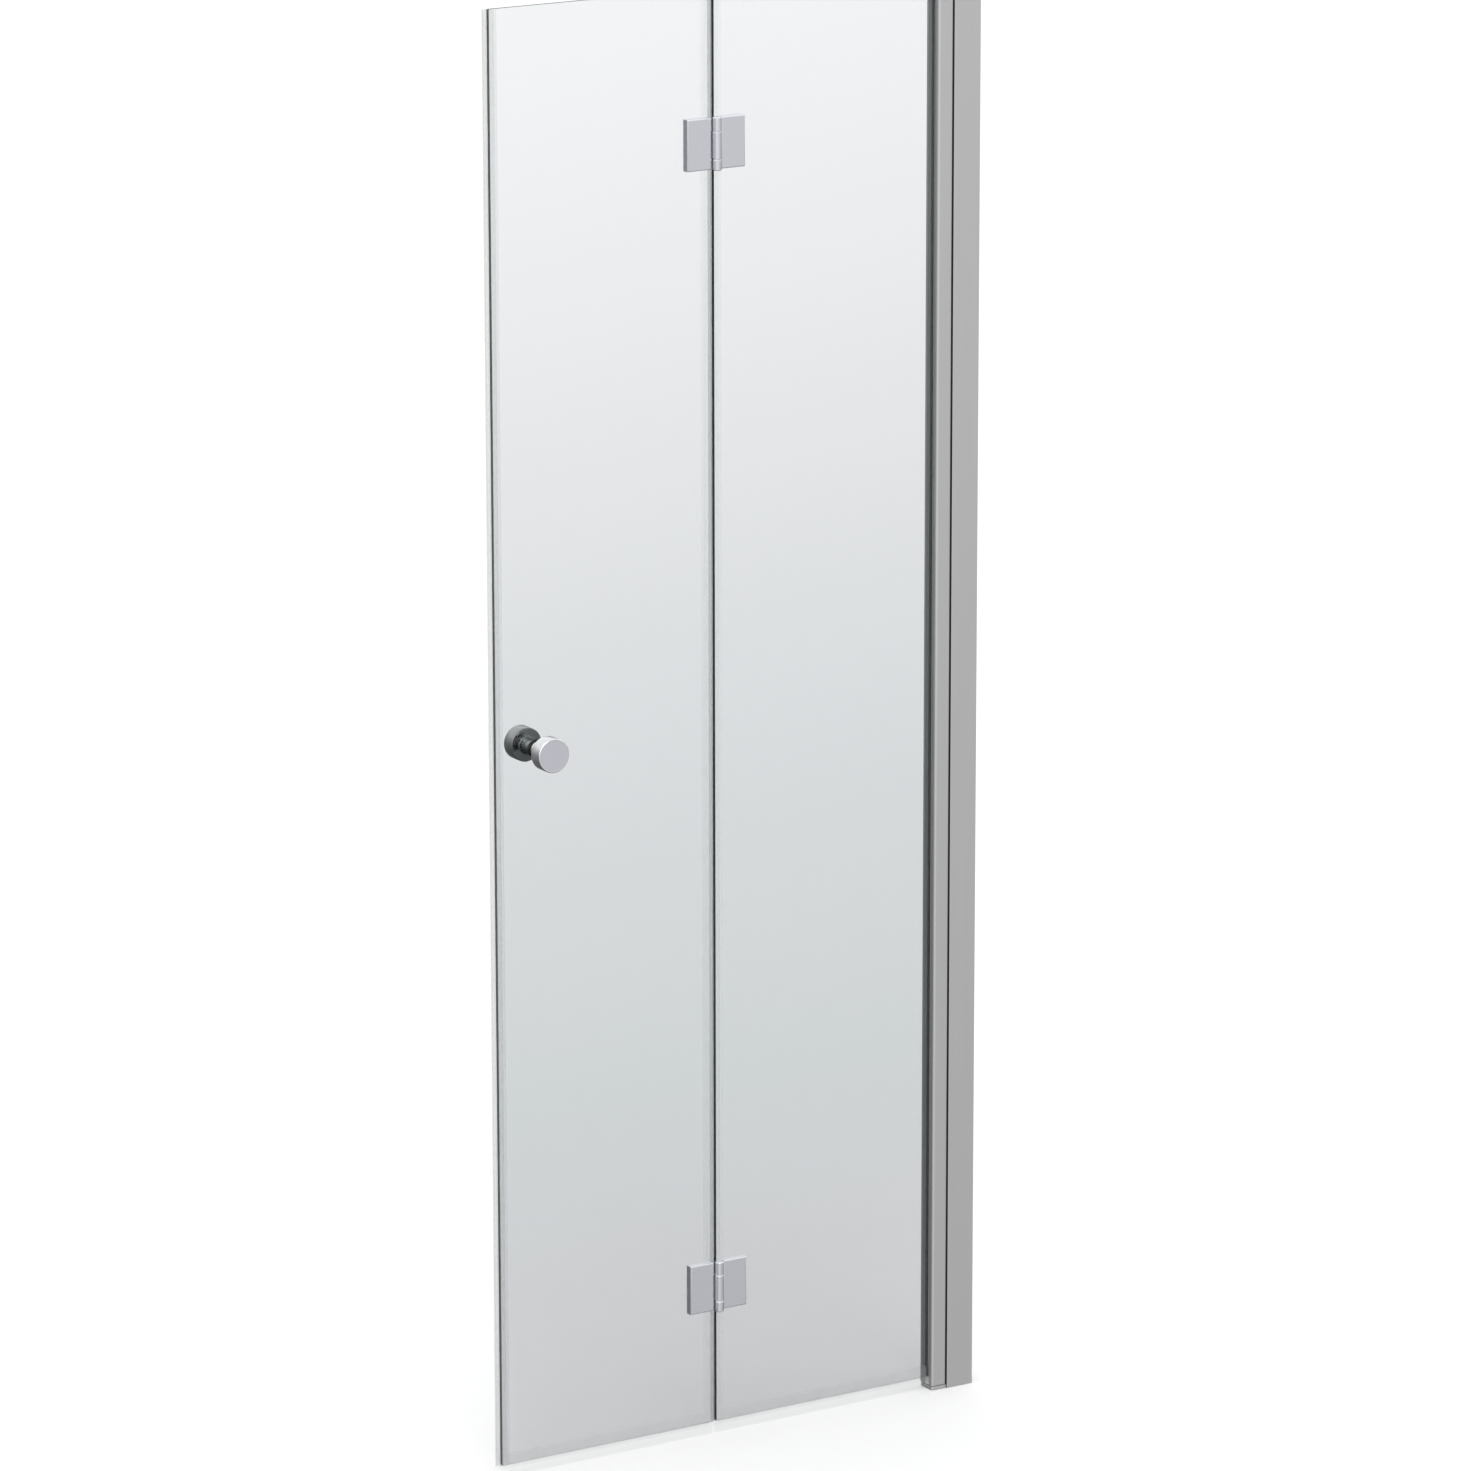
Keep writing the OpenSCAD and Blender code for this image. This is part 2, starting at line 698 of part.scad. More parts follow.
// Knuckle between z0 and z1 with the web that joins it to its leaf
module knuckle(z0, z1) {
    union() {
        translate([0, fold_y, z0]) cylinder(z1 - z0, r = knuckle_r);
        block(0, leaf_in + leaf_edge_r + 1, web_y, web_y + knuckle_web, z0 + 0.5, z1 - 0.5);
    }
}

// Heights of the knuckle joints, from the hinge's centre
low_split = -knuckle_h / 2 + knuckle_low;
top_split = knuckle_h / 2 - knuckle_top;

module leaf(side, z) {
    low = side > 0 ? [-knuckle_h / 2, low_split] : [low_split + knuckle_gap, top_split - knuckle_gap];
    bore_clear = side > 0 ? 0 : pin_clear;
    color(chrome) to_panel(side, z) difference() {
        union() {
            leaf_plate();
            knuckle(low[0], low[1]);
            if (side > 0) knuckle(top_split, knuckle_h / 2);
        }
        translate([0, fold_y, -knuckle_h]) cylinder(2 * knuckle_h, r = hinge_pin_r + bore_clear);
        for (s = [-1, 1])
            translate([leaf_mid, leaf_back - hinge_screw_in - 0.5, s * hinge_screw_pitch / 2])
                rotate([-90, 0, 0]) cylinder(leaf_t, r = hinge_screw_r);
    }
}

module hinge_pin(z) {
    half = knuckle_h / 2 - 0.6;
    color(steel) translate([fold_x, fold_y, z]) rotate_extrude()
        polygon([[0, -half], [hinge_pin_r - 0.5, -half], [hinge_pin_r, 0.5 - half],
                 [hinge_pin_r, half - 0.5], [hinge_pin_r - 0.5, half], [0, half]]);
}

// Clamping plate behind the glass, with countersunk holes
module back_plate(side, z) {
    x0 = leaf_in + back_inset;
    x1 = leaf_in + leaf_w - back_inset;
    head_h = hinge_head_r - hinge_screw_r;
    color(chrome) to_panel(side, z) difference() {
        translate([0, plate_back, 0]) rotate([90, 0, 0]) linear_extrude(back_t)
            rounded(x0, x1, -leaf_h / 2 + back_inset, leaf_h / 2 - back_inset, [3, 3, 3, 3]);
        for (s = [-1, 1]) translate([leaf_mid, plate_back, s * hinge_screw_pitch / 2])
            rotate([90, 0, 0]) {
                translate([0, 0, -1]) cylinder(back_t + 2, r = hinge_screw_r + 0.2);
                translate([0, 0, -eps])
                    cylinder(head_h + 0.2, r1 = hinge_head_r + 0.2, r2 = hinge_screw_r);
            }
    }
}

module pad(x0, x1, half_h, inset, y0) {
    translate([0, y0 + pad_t, 0]) rotate([90, 0, 0]) linear_extrude(pad_t) difference() {
        rounded(x0 + inset, x1 - inset, inset - half_h, half_h - inset, [2, 2, 2, 2]);
        for (s = [-1, 1]) translate([leaf_mid, s * hinge_screw_pitch / 2]) circle(sleeve_in_r);
    }
}

// Front pad with the sleeves that line the glass holes, and the pad behind the glass
module hinge_pads(side, z) {
    color(nylon) to_panel(side, z) {
        union() {
            pad(leaf_in, leaf_in + leaf_w, leaf_h / 2, 0.8, leaf_back);
            for (s = [-1, 1]) translate([leaf_mid, -half_glass - eps, s * hinge_screw_pitch / 2])
                rotate([-90, 0, 0]) difference() {
                    cylinder(glass_t - 0.3, r = sleeve_in_r + sleeve_wall);
                    translate([0, 0, -1]) cylinder(glass_t + 2, r = sleeve_in_r);
                }
        }
        pad(leaf_in + back_inset, leaf_in + leaf_w - back_inset, leaf_h / 2 - back_inset, 0.3, half_glass);
    }
}

module hinge_screws(side, z) {
    head_h = hinge_head_r - hinge_screw_r;
    length = plate_back - leaf_back + hinge_screw_in;
    color(steel) to_panel(side, z)
        for (s = [-1, 1]) translate([leaf_mid, plate_back, s * hinge_screw_pitch / 2])
            rotate([90, 0, 0]) difference() {
                rotate_extrude() polygon([[0, 0], [hinge_head_r, 0], [hinge_screw_r - 0.05, head_h],
                                          [hinge_screw_r - 0.05, length], [0, length]]);
                translate([0, 0, -1]) cylinder(2.8, r = 1.75, $fn = 6);
            }
}

module upper_hinge_inner_leaf() { leaf(1, upper_hinge_z); }
module upper_hinge_inner_plate() { back_plate(1, upper_hinge_z); }
module upper_hinge_inner_pads() { hinge_pads(1, upper_hinge_z); }
module upper_hinge_inner_screws() { hinge_screws(1, upper_hinge_z); }
module upper_hinge_pin() { hinge_pin(upper_hinge_z); }
module lower_hinge_inner_leaf() { leaf(1, lower_hinge_z); }
module lower_hinge_inner_plate() { back_plate(1, lower_hinge_z); }
module lower_hinge_inner_pads() { hinge_pads(1, lower_hinge_z); }
module lower_hinge_inner_screws() { hinge_screws(1, lower_hinge_z); }
module lower_hinge_pin() { hinge_pin(lower_hinge_z); }
module upper_hinge_outer_leaf() { leaf(-1, upper_hinge_z); }
module upper_hinge_outer_plate() { back_plate(-1, upper_hinge_z); }
module upper_hinge_outer_pads() { hinge_pads(-1, upper_hinge_z); }
module upper_hinge_outer_screws() { hinge_screws(-1, upper_hinge_z); }
module lower_hinge_outer_leaf() { leaf(-1, lower_hinge_z); }
module lower_hinge_outer_plate() { back_plate(-1, lower_hinge_z); }
module lower_hinge_outer_pads() { hinge_pads(-1, lower_hinge_z); }
module lower_hinge_outer_screws() { hinge_screws(-1, lower_hinge_z); }

// ---- Double-sided knob; y from the glass face outwards

module to_knob(side) {
    translate([knob_x, side * half_glass, knob_z]) rotate([side > 0 ? -90 : 90, 0, 0]) children();
}

module knob(side) {
    e = knob_edge_r;
    back = knob_reach - knob_head;
    color(chrome) to_knob(side) difference() {
        union() {
            translate([0, 0, washer_t]) cylinder(back - washer_t + 1, r = neck_r);
            rotate_extrude() union() {
                translate([0, back]) square([knob_r - e, knob_head]);
                translate([0, back + e]) square([knob_r, knob_head - 2 * e]);
                for (y = [back + e, knob_reach - e]) translate([knob_r - e, y]) circle(e);
            }
        }
        // Blind bore for the stud, and the grub screw's hole under the neck
        translate([0, 0, washer_t - 1]) cylinder(stud_in + 2, r = stud_r);
        translate([0, 0, (washer_t + back) / 2]) rotate([side > 0 ? 90 : -90, 0, 0])
            translate([0, 0, -neck_r - 1]) cylinder(neck_r + 1, r = grub_r);
    }
}

module outside_knob() {
    knob(-1);
}

module inside_knob() {
    knob(1);
}

module knob_stud() {
    reach = half_glass + washer_t + stud_in;
    color(steel) translate([knob_x, -reach, knob_z]) rotate([-90, 0, 0])
        cylinder(2 * reach, r = stud_r - 0.05);
}

module knob_washers() {
    color(rubber) union() {
        for (side = [-1, 1]) to_knob(side) difference() {
            cylinder(washer_t, r = neck_r + 0.5);
            translate([0, 0, -1]) cylinder(washer_t + 2, r = stud_r + 0.2);
        }
        to_knob(-1) mirror([0, 0, 1]) difference() {
            translate([0, 0, -eps]) cylinder(glass_t - 0.3, r = stud_r + 0.2 + knob_sleeve);
            translate([0, 0, -1]) cylinder(glass_t + 2, r = stud_r + 0.2);
        }
    }
}

module knob_grub_screws() {
    back = knob_reach - knob_head;
    depth = neck_r - stud_r;
    color(steel) for (side = [-1, 1])
        to_knob(side) translate([0, 0, (washer_t + back) / 2]) rotate([side > 0 ? 90 : -90, 0, 0])
            translate([0, 0, -neck_r + 0.4]) difference() {
                cylinder(depth - 0.4, r = grub_r - 0.05);
                translate([0, 0, -1]) cylinder(2.6, r = 1, $fn = 6);
            }
}

wall_profile();
wall_top_cap();
adjusting_profile();
adjusting_screws();
gap_strip();
lower_bearing_plate();
upper_bearing_plate();
lower_plate_screws();
upper_plate_screws();
lower_pivot_pin();
upper_pivot_pin();
pivot_profile();
lower_pivot_bush();
upper_pivot_bush();
setting_block();
glazing_gasket();
inner_glass();
inner_bottom_seal();
inner_fold_seal();
upper_hinge_inner_leaf();
upper_hinge_inner_plate();
upper_hinge_inner_pads();
upper_hinge_inner_screws();
upper_hinge_pin();
lower_hinge_inner_leaf();
lower_hinge_inner_plate();
lower_hinge_inner_pads();
lower_hinge_inner_screws();
lower_hinge_pin();
outer_glass();
leading_seal();
outer_bottom_seal();
outer_fold_seal();
upper_hinge_outer_leaf();
upper_hinge_outer_plate();
upper_hinge_outer_pads();
upper_hinge_outer_screws();
lower_hinge_outer_leaf();
lower_hinge_outer_plate();
lower_hinge_outer_pads();
lower_hinge_outer_screws();
outside_knob();
inside_knob();
knob_stud();
knob_washers();
knob_grub_screws();
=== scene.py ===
import math

import bmesh
import bpy
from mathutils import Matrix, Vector
from mathutils.geometry import tessellate_polygon


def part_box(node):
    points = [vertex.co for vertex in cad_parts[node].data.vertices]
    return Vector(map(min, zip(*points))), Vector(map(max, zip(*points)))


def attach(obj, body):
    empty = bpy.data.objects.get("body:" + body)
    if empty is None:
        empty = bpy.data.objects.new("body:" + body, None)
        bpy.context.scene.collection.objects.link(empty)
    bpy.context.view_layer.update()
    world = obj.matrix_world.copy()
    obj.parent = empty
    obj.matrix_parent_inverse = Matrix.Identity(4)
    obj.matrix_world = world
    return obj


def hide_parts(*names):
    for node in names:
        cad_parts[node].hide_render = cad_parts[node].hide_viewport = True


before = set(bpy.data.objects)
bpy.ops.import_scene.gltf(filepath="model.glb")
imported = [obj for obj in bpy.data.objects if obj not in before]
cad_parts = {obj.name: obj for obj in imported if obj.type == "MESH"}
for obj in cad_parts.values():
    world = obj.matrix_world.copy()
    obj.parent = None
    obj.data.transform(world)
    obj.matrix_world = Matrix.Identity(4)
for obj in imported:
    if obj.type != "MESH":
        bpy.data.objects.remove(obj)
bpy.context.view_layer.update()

scene = bpy.context.scene
mm = 0.001


def corners(node):  # lowest and highest corner of a solid, in mm
    low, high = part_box(node)
    return [Vector([v / mm for v in low]), Vector([v / mm for v in high])]


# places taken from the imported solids, in mm
wallLow, wallHigh = corners("wall_profile")
pivotLow, pivotHigh = corners("pivot_profile")
innerLow, innerHigh = corners("inner_glass")
outerLow, outerHigh = corners("outer_glass")
foldX = (innerLow.x + outerHigh.x) / 2
hingeZ = {level: sum(c.z for c in corners(level + "_hinge_inner_leaf")) / 2
          for level in ("upper", "lower")}
knobLow, knobHigh = corners("outside_knob")
knobX, knobZ = (knobLow.x + knobHigh.x) / 2, (knobLow.z + knobHigh.z) / 2
glassHalf = outerHigh.y
pivotAxis = (-50.2, 9.5)  # x and y of the pins that the door turns on


# camera, floor and light

view = {
    "position": (-5.387, -8.030, 3.360),  # metres
    "turn": 31.99,  # degrees from +Y towards +X
    "tilt": 14.234,  # degrees down
    "roll": -0.083,
    "lens": 182.7,
    "farthest": 200,  # metres
}


def placeCamera():
    camera = bpy.data.objects.new("viewer", bpy.data.cameras.new("viewer"))
    scene.collection.objects.link(camera)
    camera.data.lens = view["lens"]
    camera.data.clip_end = view["farthest"]
    camera.location = view["position"]
    turn, tilt = math.radians(view["turn"]), math.radians(view["tilt"])
    ahead = Vector((math.sin(turn) * math.cos(tilt), math.cos(turn) * math.cos(tilt),
                    -math.sin(tilt)))
    facing = ahead.to_track_quat("-Z", "Y").to_matrix().to_4x4()
    facing.translation = camera.location
    camera.matrix_world = facing
    camera.rotation_euler.rotate_axis("Z", math.radians(view["roll"]))
    scene.camera = camera


def addNode(tree, kind, sockets=None, **settings):
    made = tree.nodes.new("ShaderNode" + kind)
    for key, value in settings.items():
        setattr(made, key, value)
    for key, value in (sockets or {}).items():
        if isinstance(value, bpy.types.NodeSocket):
            tree.links.new(value, made.inputs[key])
        else:
            made.inputs[key].default_value = value
    return made


def grey(value):
    return (value, value, value)


def opaque(colour):
    return (*colour, 1.0)


white = opaque(grey(1.0))


def setStops(ramp, stops):  # stops are (position, colour) pairs
    elements = ramp.color_ramp.elements
    while len(elements) < len(stops):
        elements.new(0.5)
    for element, (place, colour) in zip(elements, stops):
        element.position = place
        element.color = opaque(colour)


studio = {
    # brightness around the door, by height from straight down at 0 to straight up at 1
    "front": [(0.0, 0.16), (0.25, 0.42), (0.40, 0.66), (0.50, 0.82), (0.75, 1.0), (1.0, 1.02)],
    "back": [(0.0, 0.10), (0.25, 0.16), (0.33, 0.27), (0.42, 0.33), (0.48, 0.48), (0.60, 0.95),
             (0.70, 1.6), (1.0, 1.1)],
    "brightest": 1.6,
    # each side has a direction and its reach, where it begins and where it is full
    "frontSide": (0.0, -1.0, 0.0),
    "frontReach": (0.0, 0.85),
    "panelSide": (-0.8, -0.6, 0.0),  # a tall light panel on the left of the viewer
    "panelReach": (0.35, 0.92),
    "panel": 0.32,
    "flagSide": (-0.53, 0.85, 0.0),  # a dark card behind the door on the left, for its side faces
    "flagReach": (0.7, 0.93),
    "flag": 0.15,
    "backdrop": 1.0,
    "keyFrom": (-0.25, -0.555, 0.79),
    "keyStrength": 0.7,
    "keyWidth": 36,  # degrees
    "clearFaces": 32,  # how many clear faces may lie behind each other
}


def turnTo(tree, way, side, low=0.0, high=1.0):  # low to high as way turns to a side of the studio
    towards = addNode(tree, "VectorMath", {0: way, 1: studio[side + "Side"]},
                      operation="DOT_PRODUCT").outputs["Value"]
    begins, full = studio[side + "Reach"]
    return addNode(tree, "MapRange", {"Value": towards, "From Min": begins, "From Max": full,
                                      "To Min": low, "To Max": high},
                   interpolation_type="SMOOTHSTEP").outputs[0]


def lightStudio():
    world = bpy.data.worlds.new("studio")
    scene.world = world
    world.use_nodes = True
    tree = world.node_tree
    tree.nodes.clear()
    way = addNode(tree, "TexCoord").outputs["Generated"]
    height = addNode(tree, "SeparateXYZ", {0: way}).outputs["Z"]
    level = addNode(tree, "MapRange", {"Value": height, "From Min": -1.0}).outputs[0]
    brightest = studio["brightest"]
    tones = []
    for side in ("back", "front"):
        ramp = addNode(tree, "ValToRGB", {"Fac": level})
        setStops(ramp, [(place, grey(tone / brightest)) for place, tone in studio[side]])
        tones.append(ramp.outputs["Color"])
    share = turnTo(tree, way, "front")
    around = addNode(tree, "MixRGB", {"Fac": share, "Color1": tones[0], "Color2": tones[1]})
    glow = turnTo(tree, way, "panel", brightest, brightest * (1 + studio["panel"]))
    shade = turnTo(tree, way, "flag", 1.0, 1 - studio["flag"])
    strength = addNode(tree, "Math", {0: glow, 1: shade}, operation="MULTIPLY").outputs[0]
    surroundings = addNode(tree, "Background", {"Color": around.outputs[0], "Strength": strength})
    backdrop = addNode(tree, "Background", {"Color": white, "Strength": studio["backdrop"]})
    seen = addNode(tree, "LightPath").outputs["Is Camera Ray"]
    both = addNode(tree, "MixShader", {0: seen, 1: surroundings.outputs[0], 2: backdrop.outputs[0]})
    output = addNode(tree, "OutputWorld")
    tree.links.new(both.outputs[0], output.inputs["Surface"])

    lamp = bpy.data.lights.new("key", "SUN")
    lamp.energy = studio["keyStrength"]
    lamp.angle = math.radians(studio["keyWidth"])
    key = bpy.data.objects.new("key", lamp)
    key.rotation_euler = Vector(studio["keyFrom"]).to_track_quat("Z", "Y").to_euler()
    scene.collection.objects.link(key)
    scene.view_settings.view_transform = "Standard"
    scene.cycles.transparent_max_bounces = studio["clearFaces"]


floorLook = {"radius": 90.0, "sides": 96, "drop": 0.0002, "tone": 0.78, "rough": 0.9}  # metres


def layFloor():
    bm = bmesh.new()
    bmesh.ops.create_circle(bm, cap_ends=True, segments=floorLook["sides"],
                            radius=floorLook["radius"])
    for vert in bm.verts:
        vert.co.z = -floorLook["drop"]
    mesh = bpy.data.meshes.new("floor")
    bm.to_mesh(mesh)
    bm.free()
    floor = bpy.data.objects.new("floor", mesh)
    scene.collection.objects.link(floor)
    material = bpy.data.materials.new("paleFloor")
    material.use_nodes = True
    shader = material.node_tree.nodes["Principled BSDF"]
    shader.inputs["Base Color"].default_value = opaque(grey(floorLook["tone"]))
    shader.inputs["Roughness"].default_value = floorLook["rough"]
    shader.inputs["Specular IOR Level"].default_value = 0.0
    mesh.materials.append(material)
    floor.visible_glossy = False


placeCamera()
lightStudio()
layFloor()
print("camera, light and floor placed")


# finishes

# most values of a noise pattern lie between least and most
noise = {"detail": 3.0, "roughness": 0.55, "least": 0.3, "most": 0.7}


def startMaterial(name):
    material = bpy.data.materials.new(name)
    material.use_nodes = True
    material.node_tree.nodes.clear()
    return material, material.node_tree


def showShader(tree, shader):
    output = addNode(tree, "OutputMaterial")
    tree.links.new(shader.outputs[0], output.inputs["Surface"])


def pattern(tree, scale, detail=noise["detail"]):  # noise over the piece, stretched by scale
    place = addNode(tree, "TexCoord").outputs["Object"]
    stretched = addNode(tree, "Mapping", {"Vector": place, "Scale": scale}).outputs[0]
    return addNode(tree, "TexNoise", {"Vector": stretched, "Scale": 1.0, "Detail": detail,
                                      "Roughness": noise["roughness"]}).outputs["Fac"]


def spreadOver(tree, value, low, high):
    return addNode(tree, "MapRange", {"Value": value, "From Min": noise["least"],
                                      "From Max": noise["most"], "To Min": low,
                                      "To Max": high}).outputs[0]


def toned(tree, value, colour, change):  # colour, darker and lighter by change
    dark = [c * (1 - change) for c in colour]
    light = [min(1, c * (1 + change)) for c in colour]
    ramp = addNode(tree, "ValToRGB", {"Fac": value})
    setStops(ramp, [(noise["least"], dark), (noise["most"], light)])
    return ramp.outputs["Color"]


def bumped(tree, height, strength, depth):  # depth in mm
    return addNode(tree, "Bump", {"Height": height, "Strength": strength,
                                  "Distance": depth * mm}).outputs[0]


metalSurface = {"depth": 0.05, "cloudChange": 0.08, "cloudDetail": 2.0}


def metalFinish(name, look):
    material, tree = startMaterial(name)
    grain = pattern(tree, look["grain"])
    clouds = pattern(tree, look["clouds"], metalSurface["cloudDetail"])
    cloudy = spreadOver(tree, clouds, look["rough"] * (1 - metalSurface["cloudChange"]),
                        look["rough"] * (1 + metalSurface["cloudChange"]))
    fine = spreadOver(tree, grain, -look["roughChange"], look["roughChange"])
    rough = addNode(tree, "Math", {0: fine, 1: cloudy}, operation="ADD").outputs[0]
    showShader(tree, addNode(tree, "BsdfPrincipled", {
        "Base Color": toned(tree, grain, look["colour"], look["change"]), "Metallic": 1.0,
        "Roughness": rough, "Normal": bumped(tree, grain, look["bump"], metalSurface["depth"])}))
    return material


anodisedLook = {
    "colour": (0.69, 0.69, 0.69), "change": 0.02, "rough": 0.36, "roughChange": 0.03,
    "bump": 0.25, "grain": (1800, 1800, 9), "clouds": (14, 14, 1.2),
}
leafLook = {
    "colour": (0.80, 0.805, 0.865), "change": 0.01, "rough": 0.27, "roughChange": 0.02,
    "bump": 0.05, "grain": (2600, 2600, 2600), "clouds": (40, 40, 40),
}
knobSideLook = {
    "colour": (0.82, 0.82, 0.83), "change": 0.01, "rough": 0.07, "roughChange": 0.01,
    "bump": 0.02, "grain": (900, 5000, 900), "clouds": (60, 60, 60),
}
# painted shade: a darker copy of the knob's chrome, for the knob behind the glass
insideShadeLook = {
    "colour": (0.30, 0.315, 0.31), "change": 0.01, "rough": 0.09, "roughChange": 0.01,
    "bump": 0.02, "grain": (900, 5000, 900), "clouds": (60, 60, 60),
}
# painted shade for the web in the slit between leaf and knuckle
slitShadeLook = {
    "colour": (0.60, 0.60, 0.61), "change": 0.05, "rough": 0.5, "roughChange": 0.03,
    "bump": 0.1, "grain": (2600, 2600, 2600), "clouds": (90, 90, 90),
}
# painted shade for the edge of the wall profile's front lip, in the shadow gap
lipShadeLook = {
    "colour": (0.12, 0.12, 0.12), "change": 0.03, "rough": 0.5, "roughChange": 0.03,
    "bump": 0.1, "grain": (1800, 1800, 9), "clouds": (14, 14, 1.2),
}
steelLook = {
    "colour": (0.62, 0.62, 0.64), "change": 0.03, "rough": 0.25, "roughChange": 0.04,
    "bump": 0.1, "grain": (2200, 2200, 2200), "clouds": (80, 80, 80),
}
zincLook = {
    "colour": (0.68, 0.68, 0.685), "change": 0.02, "rough": 0.40, "roughChange": 0.03,
    "bump": 0.15, "grain": (3000, 3000, 3000), "clouds": (90, 90, 90),
}
satinAluminium = metalFinish("satinAluminium", anodisedLook)
satinChrome = metalFinish("satinChrome", leafLook)
polishedChrome = metalFinish("polishedChrome", knobSideLook)
shadedInsideChrome = metalFinish("shadedInsideChrome", insideShadeLook)
slitShadeFinish = metalFinish("slitShadeFinish", slitShadeLook)
lipShadeFinish = metalFinish("lipShadeFinish", lipShadeLook)
stainlessSteel = metalFinish("stainlessSteel", steelLook)
castZinc = metalFinish("castZinc", zincLook)


turnedLook = {
    "colour": (0.79, 0.795, 0.865), "change": 0.015, "rough": 0.24, "roughChange": 0.02,
    "bump": 0.12, "depth": 0.03, "ringsPerMetre": 2200, "grain": (500, 500, 500),
}


def turnedFace():  # the knobs' faces, with the fine rings that a lathe leaves
    look = turnedLook
    material, tree = startMaterial("turnedFace")
    place = addNode(tree, "TexCoord").outputs["Object"]
    fromKnob = (-knobX * mm, 0.0, -knobZ * mm)
    across = addNode(tree, "VectorMath", {0: place, 1: fromKnob}).outputs[0]
    flat = addNode(tree, "VectorMath", {0: across, 1: (1.0, 0.0, 1.0)}, operation="MULTIPLY")
    reach = addNode(tree, "VectorMath", {0: flat.outputs[0]}, operation="LENGTH").outputs["Value"]
    phase = addNode(tree, "Math", {0: reach, 1: look["ringsPerMetre"] * 2 * math.pi},
                    operation="MULTIPLY")
    rings = addNode(tree, "Math", {0: phase.outputs[0]}, operation="SINE").outputs[0]
    grain = pattern(tree, look["grain"])
    height = addNode(tree, "Math", {0: rings, 1: grain}, operation="MULTIPLY").outputs[0]
    rough = spreadOver(tree, grain, look["rough"] - look["roughChange"],
                       look["rough"] + look["roughChange"])
    showShader(tree, addNode(tree, "BsdfPrincipled", {
        "Base Color": toned(tree, grain, look["colour"], look["change"]), "Metallic": 1.0,
        "Roughness": rough, "Normal": bumped(tree, height, look["bump"], look["depth"])}))
    return material


mouldedSurface = {"depth": 0.1, "roughChange": 0.06}


def mouldedFinish(name, look):  # rubber, nylon and moulded plastic
    material, tree = startMaterial(name)
    grain = pattern(tree, look["grain"])
    rough = spreadOver(tree, grain, look["rough"] - mouldedSurface["roughChange"],
                       look["rough"] + mouldedSurface["roughChange"])
    showShader(tree, addNode(tree, "BsdfPrincipled", {
        "Base Color": toned(tree, grain, look["colour"], look["change"]), "Roughness": rough,
        "Specular IOR Level": look["shine"],
        "Normal": bumped(tree, grain, look["bump"], mouldedSurface["depth"])}))
    return material


rubberLook = {"colour": (0.022, 0.022, 0.023), "change": 0.2, "rough": 0.62, "shine": 0.3,
              "bump": 0.3, "grain": (2500, 2500, 60)}
gasketLook = {"colour": (0.150, 0.160, 0.155), "change": 0.15, "rough": 0.45, "shine": 0.4,
              "bump": 0.2, "grain": (2500, 2500, 60)}
nylonLook = {"colour": (0.62, 0.62, 0.60), "change": 0.03, "rough": 0.42, "shine": 0.4,
             "bump": 0.1, "grain": (1500, 1500, 1500)}
capLook = {"colour": (0.40, 0.40, 0.41), "change": 0.04, "rough": 0.48, "shine": 0.4,
           "bump": 0.3, "grain": (2400, 2400, 2400)}
turnedChrome = turnedFace()
blackRubber = mouldedFinish("blackRubber", rubberLook)
greyRubber = mouldedFinish("greyRubber", gasketLook)
naturalNylon = mouldedFinish("naturalNylon", nylonLook)
silverPlastic = mouldedFinish("silverPlastic", capLook)


glancing = 5.0  # how late a clear surface turns into a mirror


def mirrored(tree, clear, gloss, least, most):  # least is its reflection straight on, most aslant
    facing = addNode(tree, "LayerWeight", {"Blend": 0.5}).outputs["Facing"]
    steep = addNode(tree, "Math", {0: facing, 1: glancing}, operation="POWER").outputs[0]
    share = addNode(tree, "Math", {0: steep, 1: most - least, 2: least}, operation="MULTIPLY_ADD")
    return addNode(tree, "MixShader", {0: share.outputs[0], 1: clear, 2: gloss})


paneLook = {
    # what one face lets through, from the foot of the glass to its top: the glass tint with painted
    # shade, darker low down and lighter towards the top
    "tint": [(0.0, (0.811, 0.813, 0.822)), (0.12, (0.780, 0.786, 0.795)),
             (0.25, (0.766, 0.785, 0.789)), (0.4, (0.786, 0.800, 0.807)),
             (0.55, (0.815, 0.826, 0.834)), (0.7, (0.849, 0.857, 0.866)),
             (0.85, (0.881, 0.889, 0.896)), (1.0, (0.906, 0.913, 0.921))],
    "side": 0.005,  # painted shade: this share more at the leading edge and less at the wall
    "rough": 0.01, "smears": (5, 5, 3), "smearDetail": 4.0, "gloss": (0.04, 1.0),
}


def paneGlass():
    look = paneLook
    material, tree = startMaterial("clearGlass")
    place = addNode(tree, "TexCoord").outputs["Object"]
    spot = addNode(tree, "SeparateXYZ", {0: place}).outputs
    level = addNode(tree, "MapRange", {"Value": spot["Z"], "From Min": innerLow.z * mm,
                                       "From Max": innerHigh.z * mm})
    ramp = addNode(tree, "ValToRGB", {"Fac": level.outputs[0]})
    setStops(ramp, look["tint"])
    across = addNode(tree, "MapRange", {"Value": spot["X"], "From Min": outerLow.x * mm,
                                        "From Max": innerHigh.x * mm, "To Min": 1 + look["side"],
                                        "To Max": 1 - look["side"]})
    tint = addNode(tree, "VectorMath", {0: ramp.outputs["Color"], "Scale": across.outputs[0]},
                   operation="SCALE")
    clear = addNode(tree, "BsdfTransparent", {"Color": tint.outputs[0]})
    smears = pattern(tree, look["smears"], look["smearDetail"])
    rough = spreadOver(tree, smears, 0.0, look["rough"])
    gloss = addNode(tree, "BsdfGlossy", {"Color": white, "Roughness": rough})
    showShader(tree, mirrored(tree, clear.outputs[0], gloss.outputs[0], *look["gloss"]))
    return material


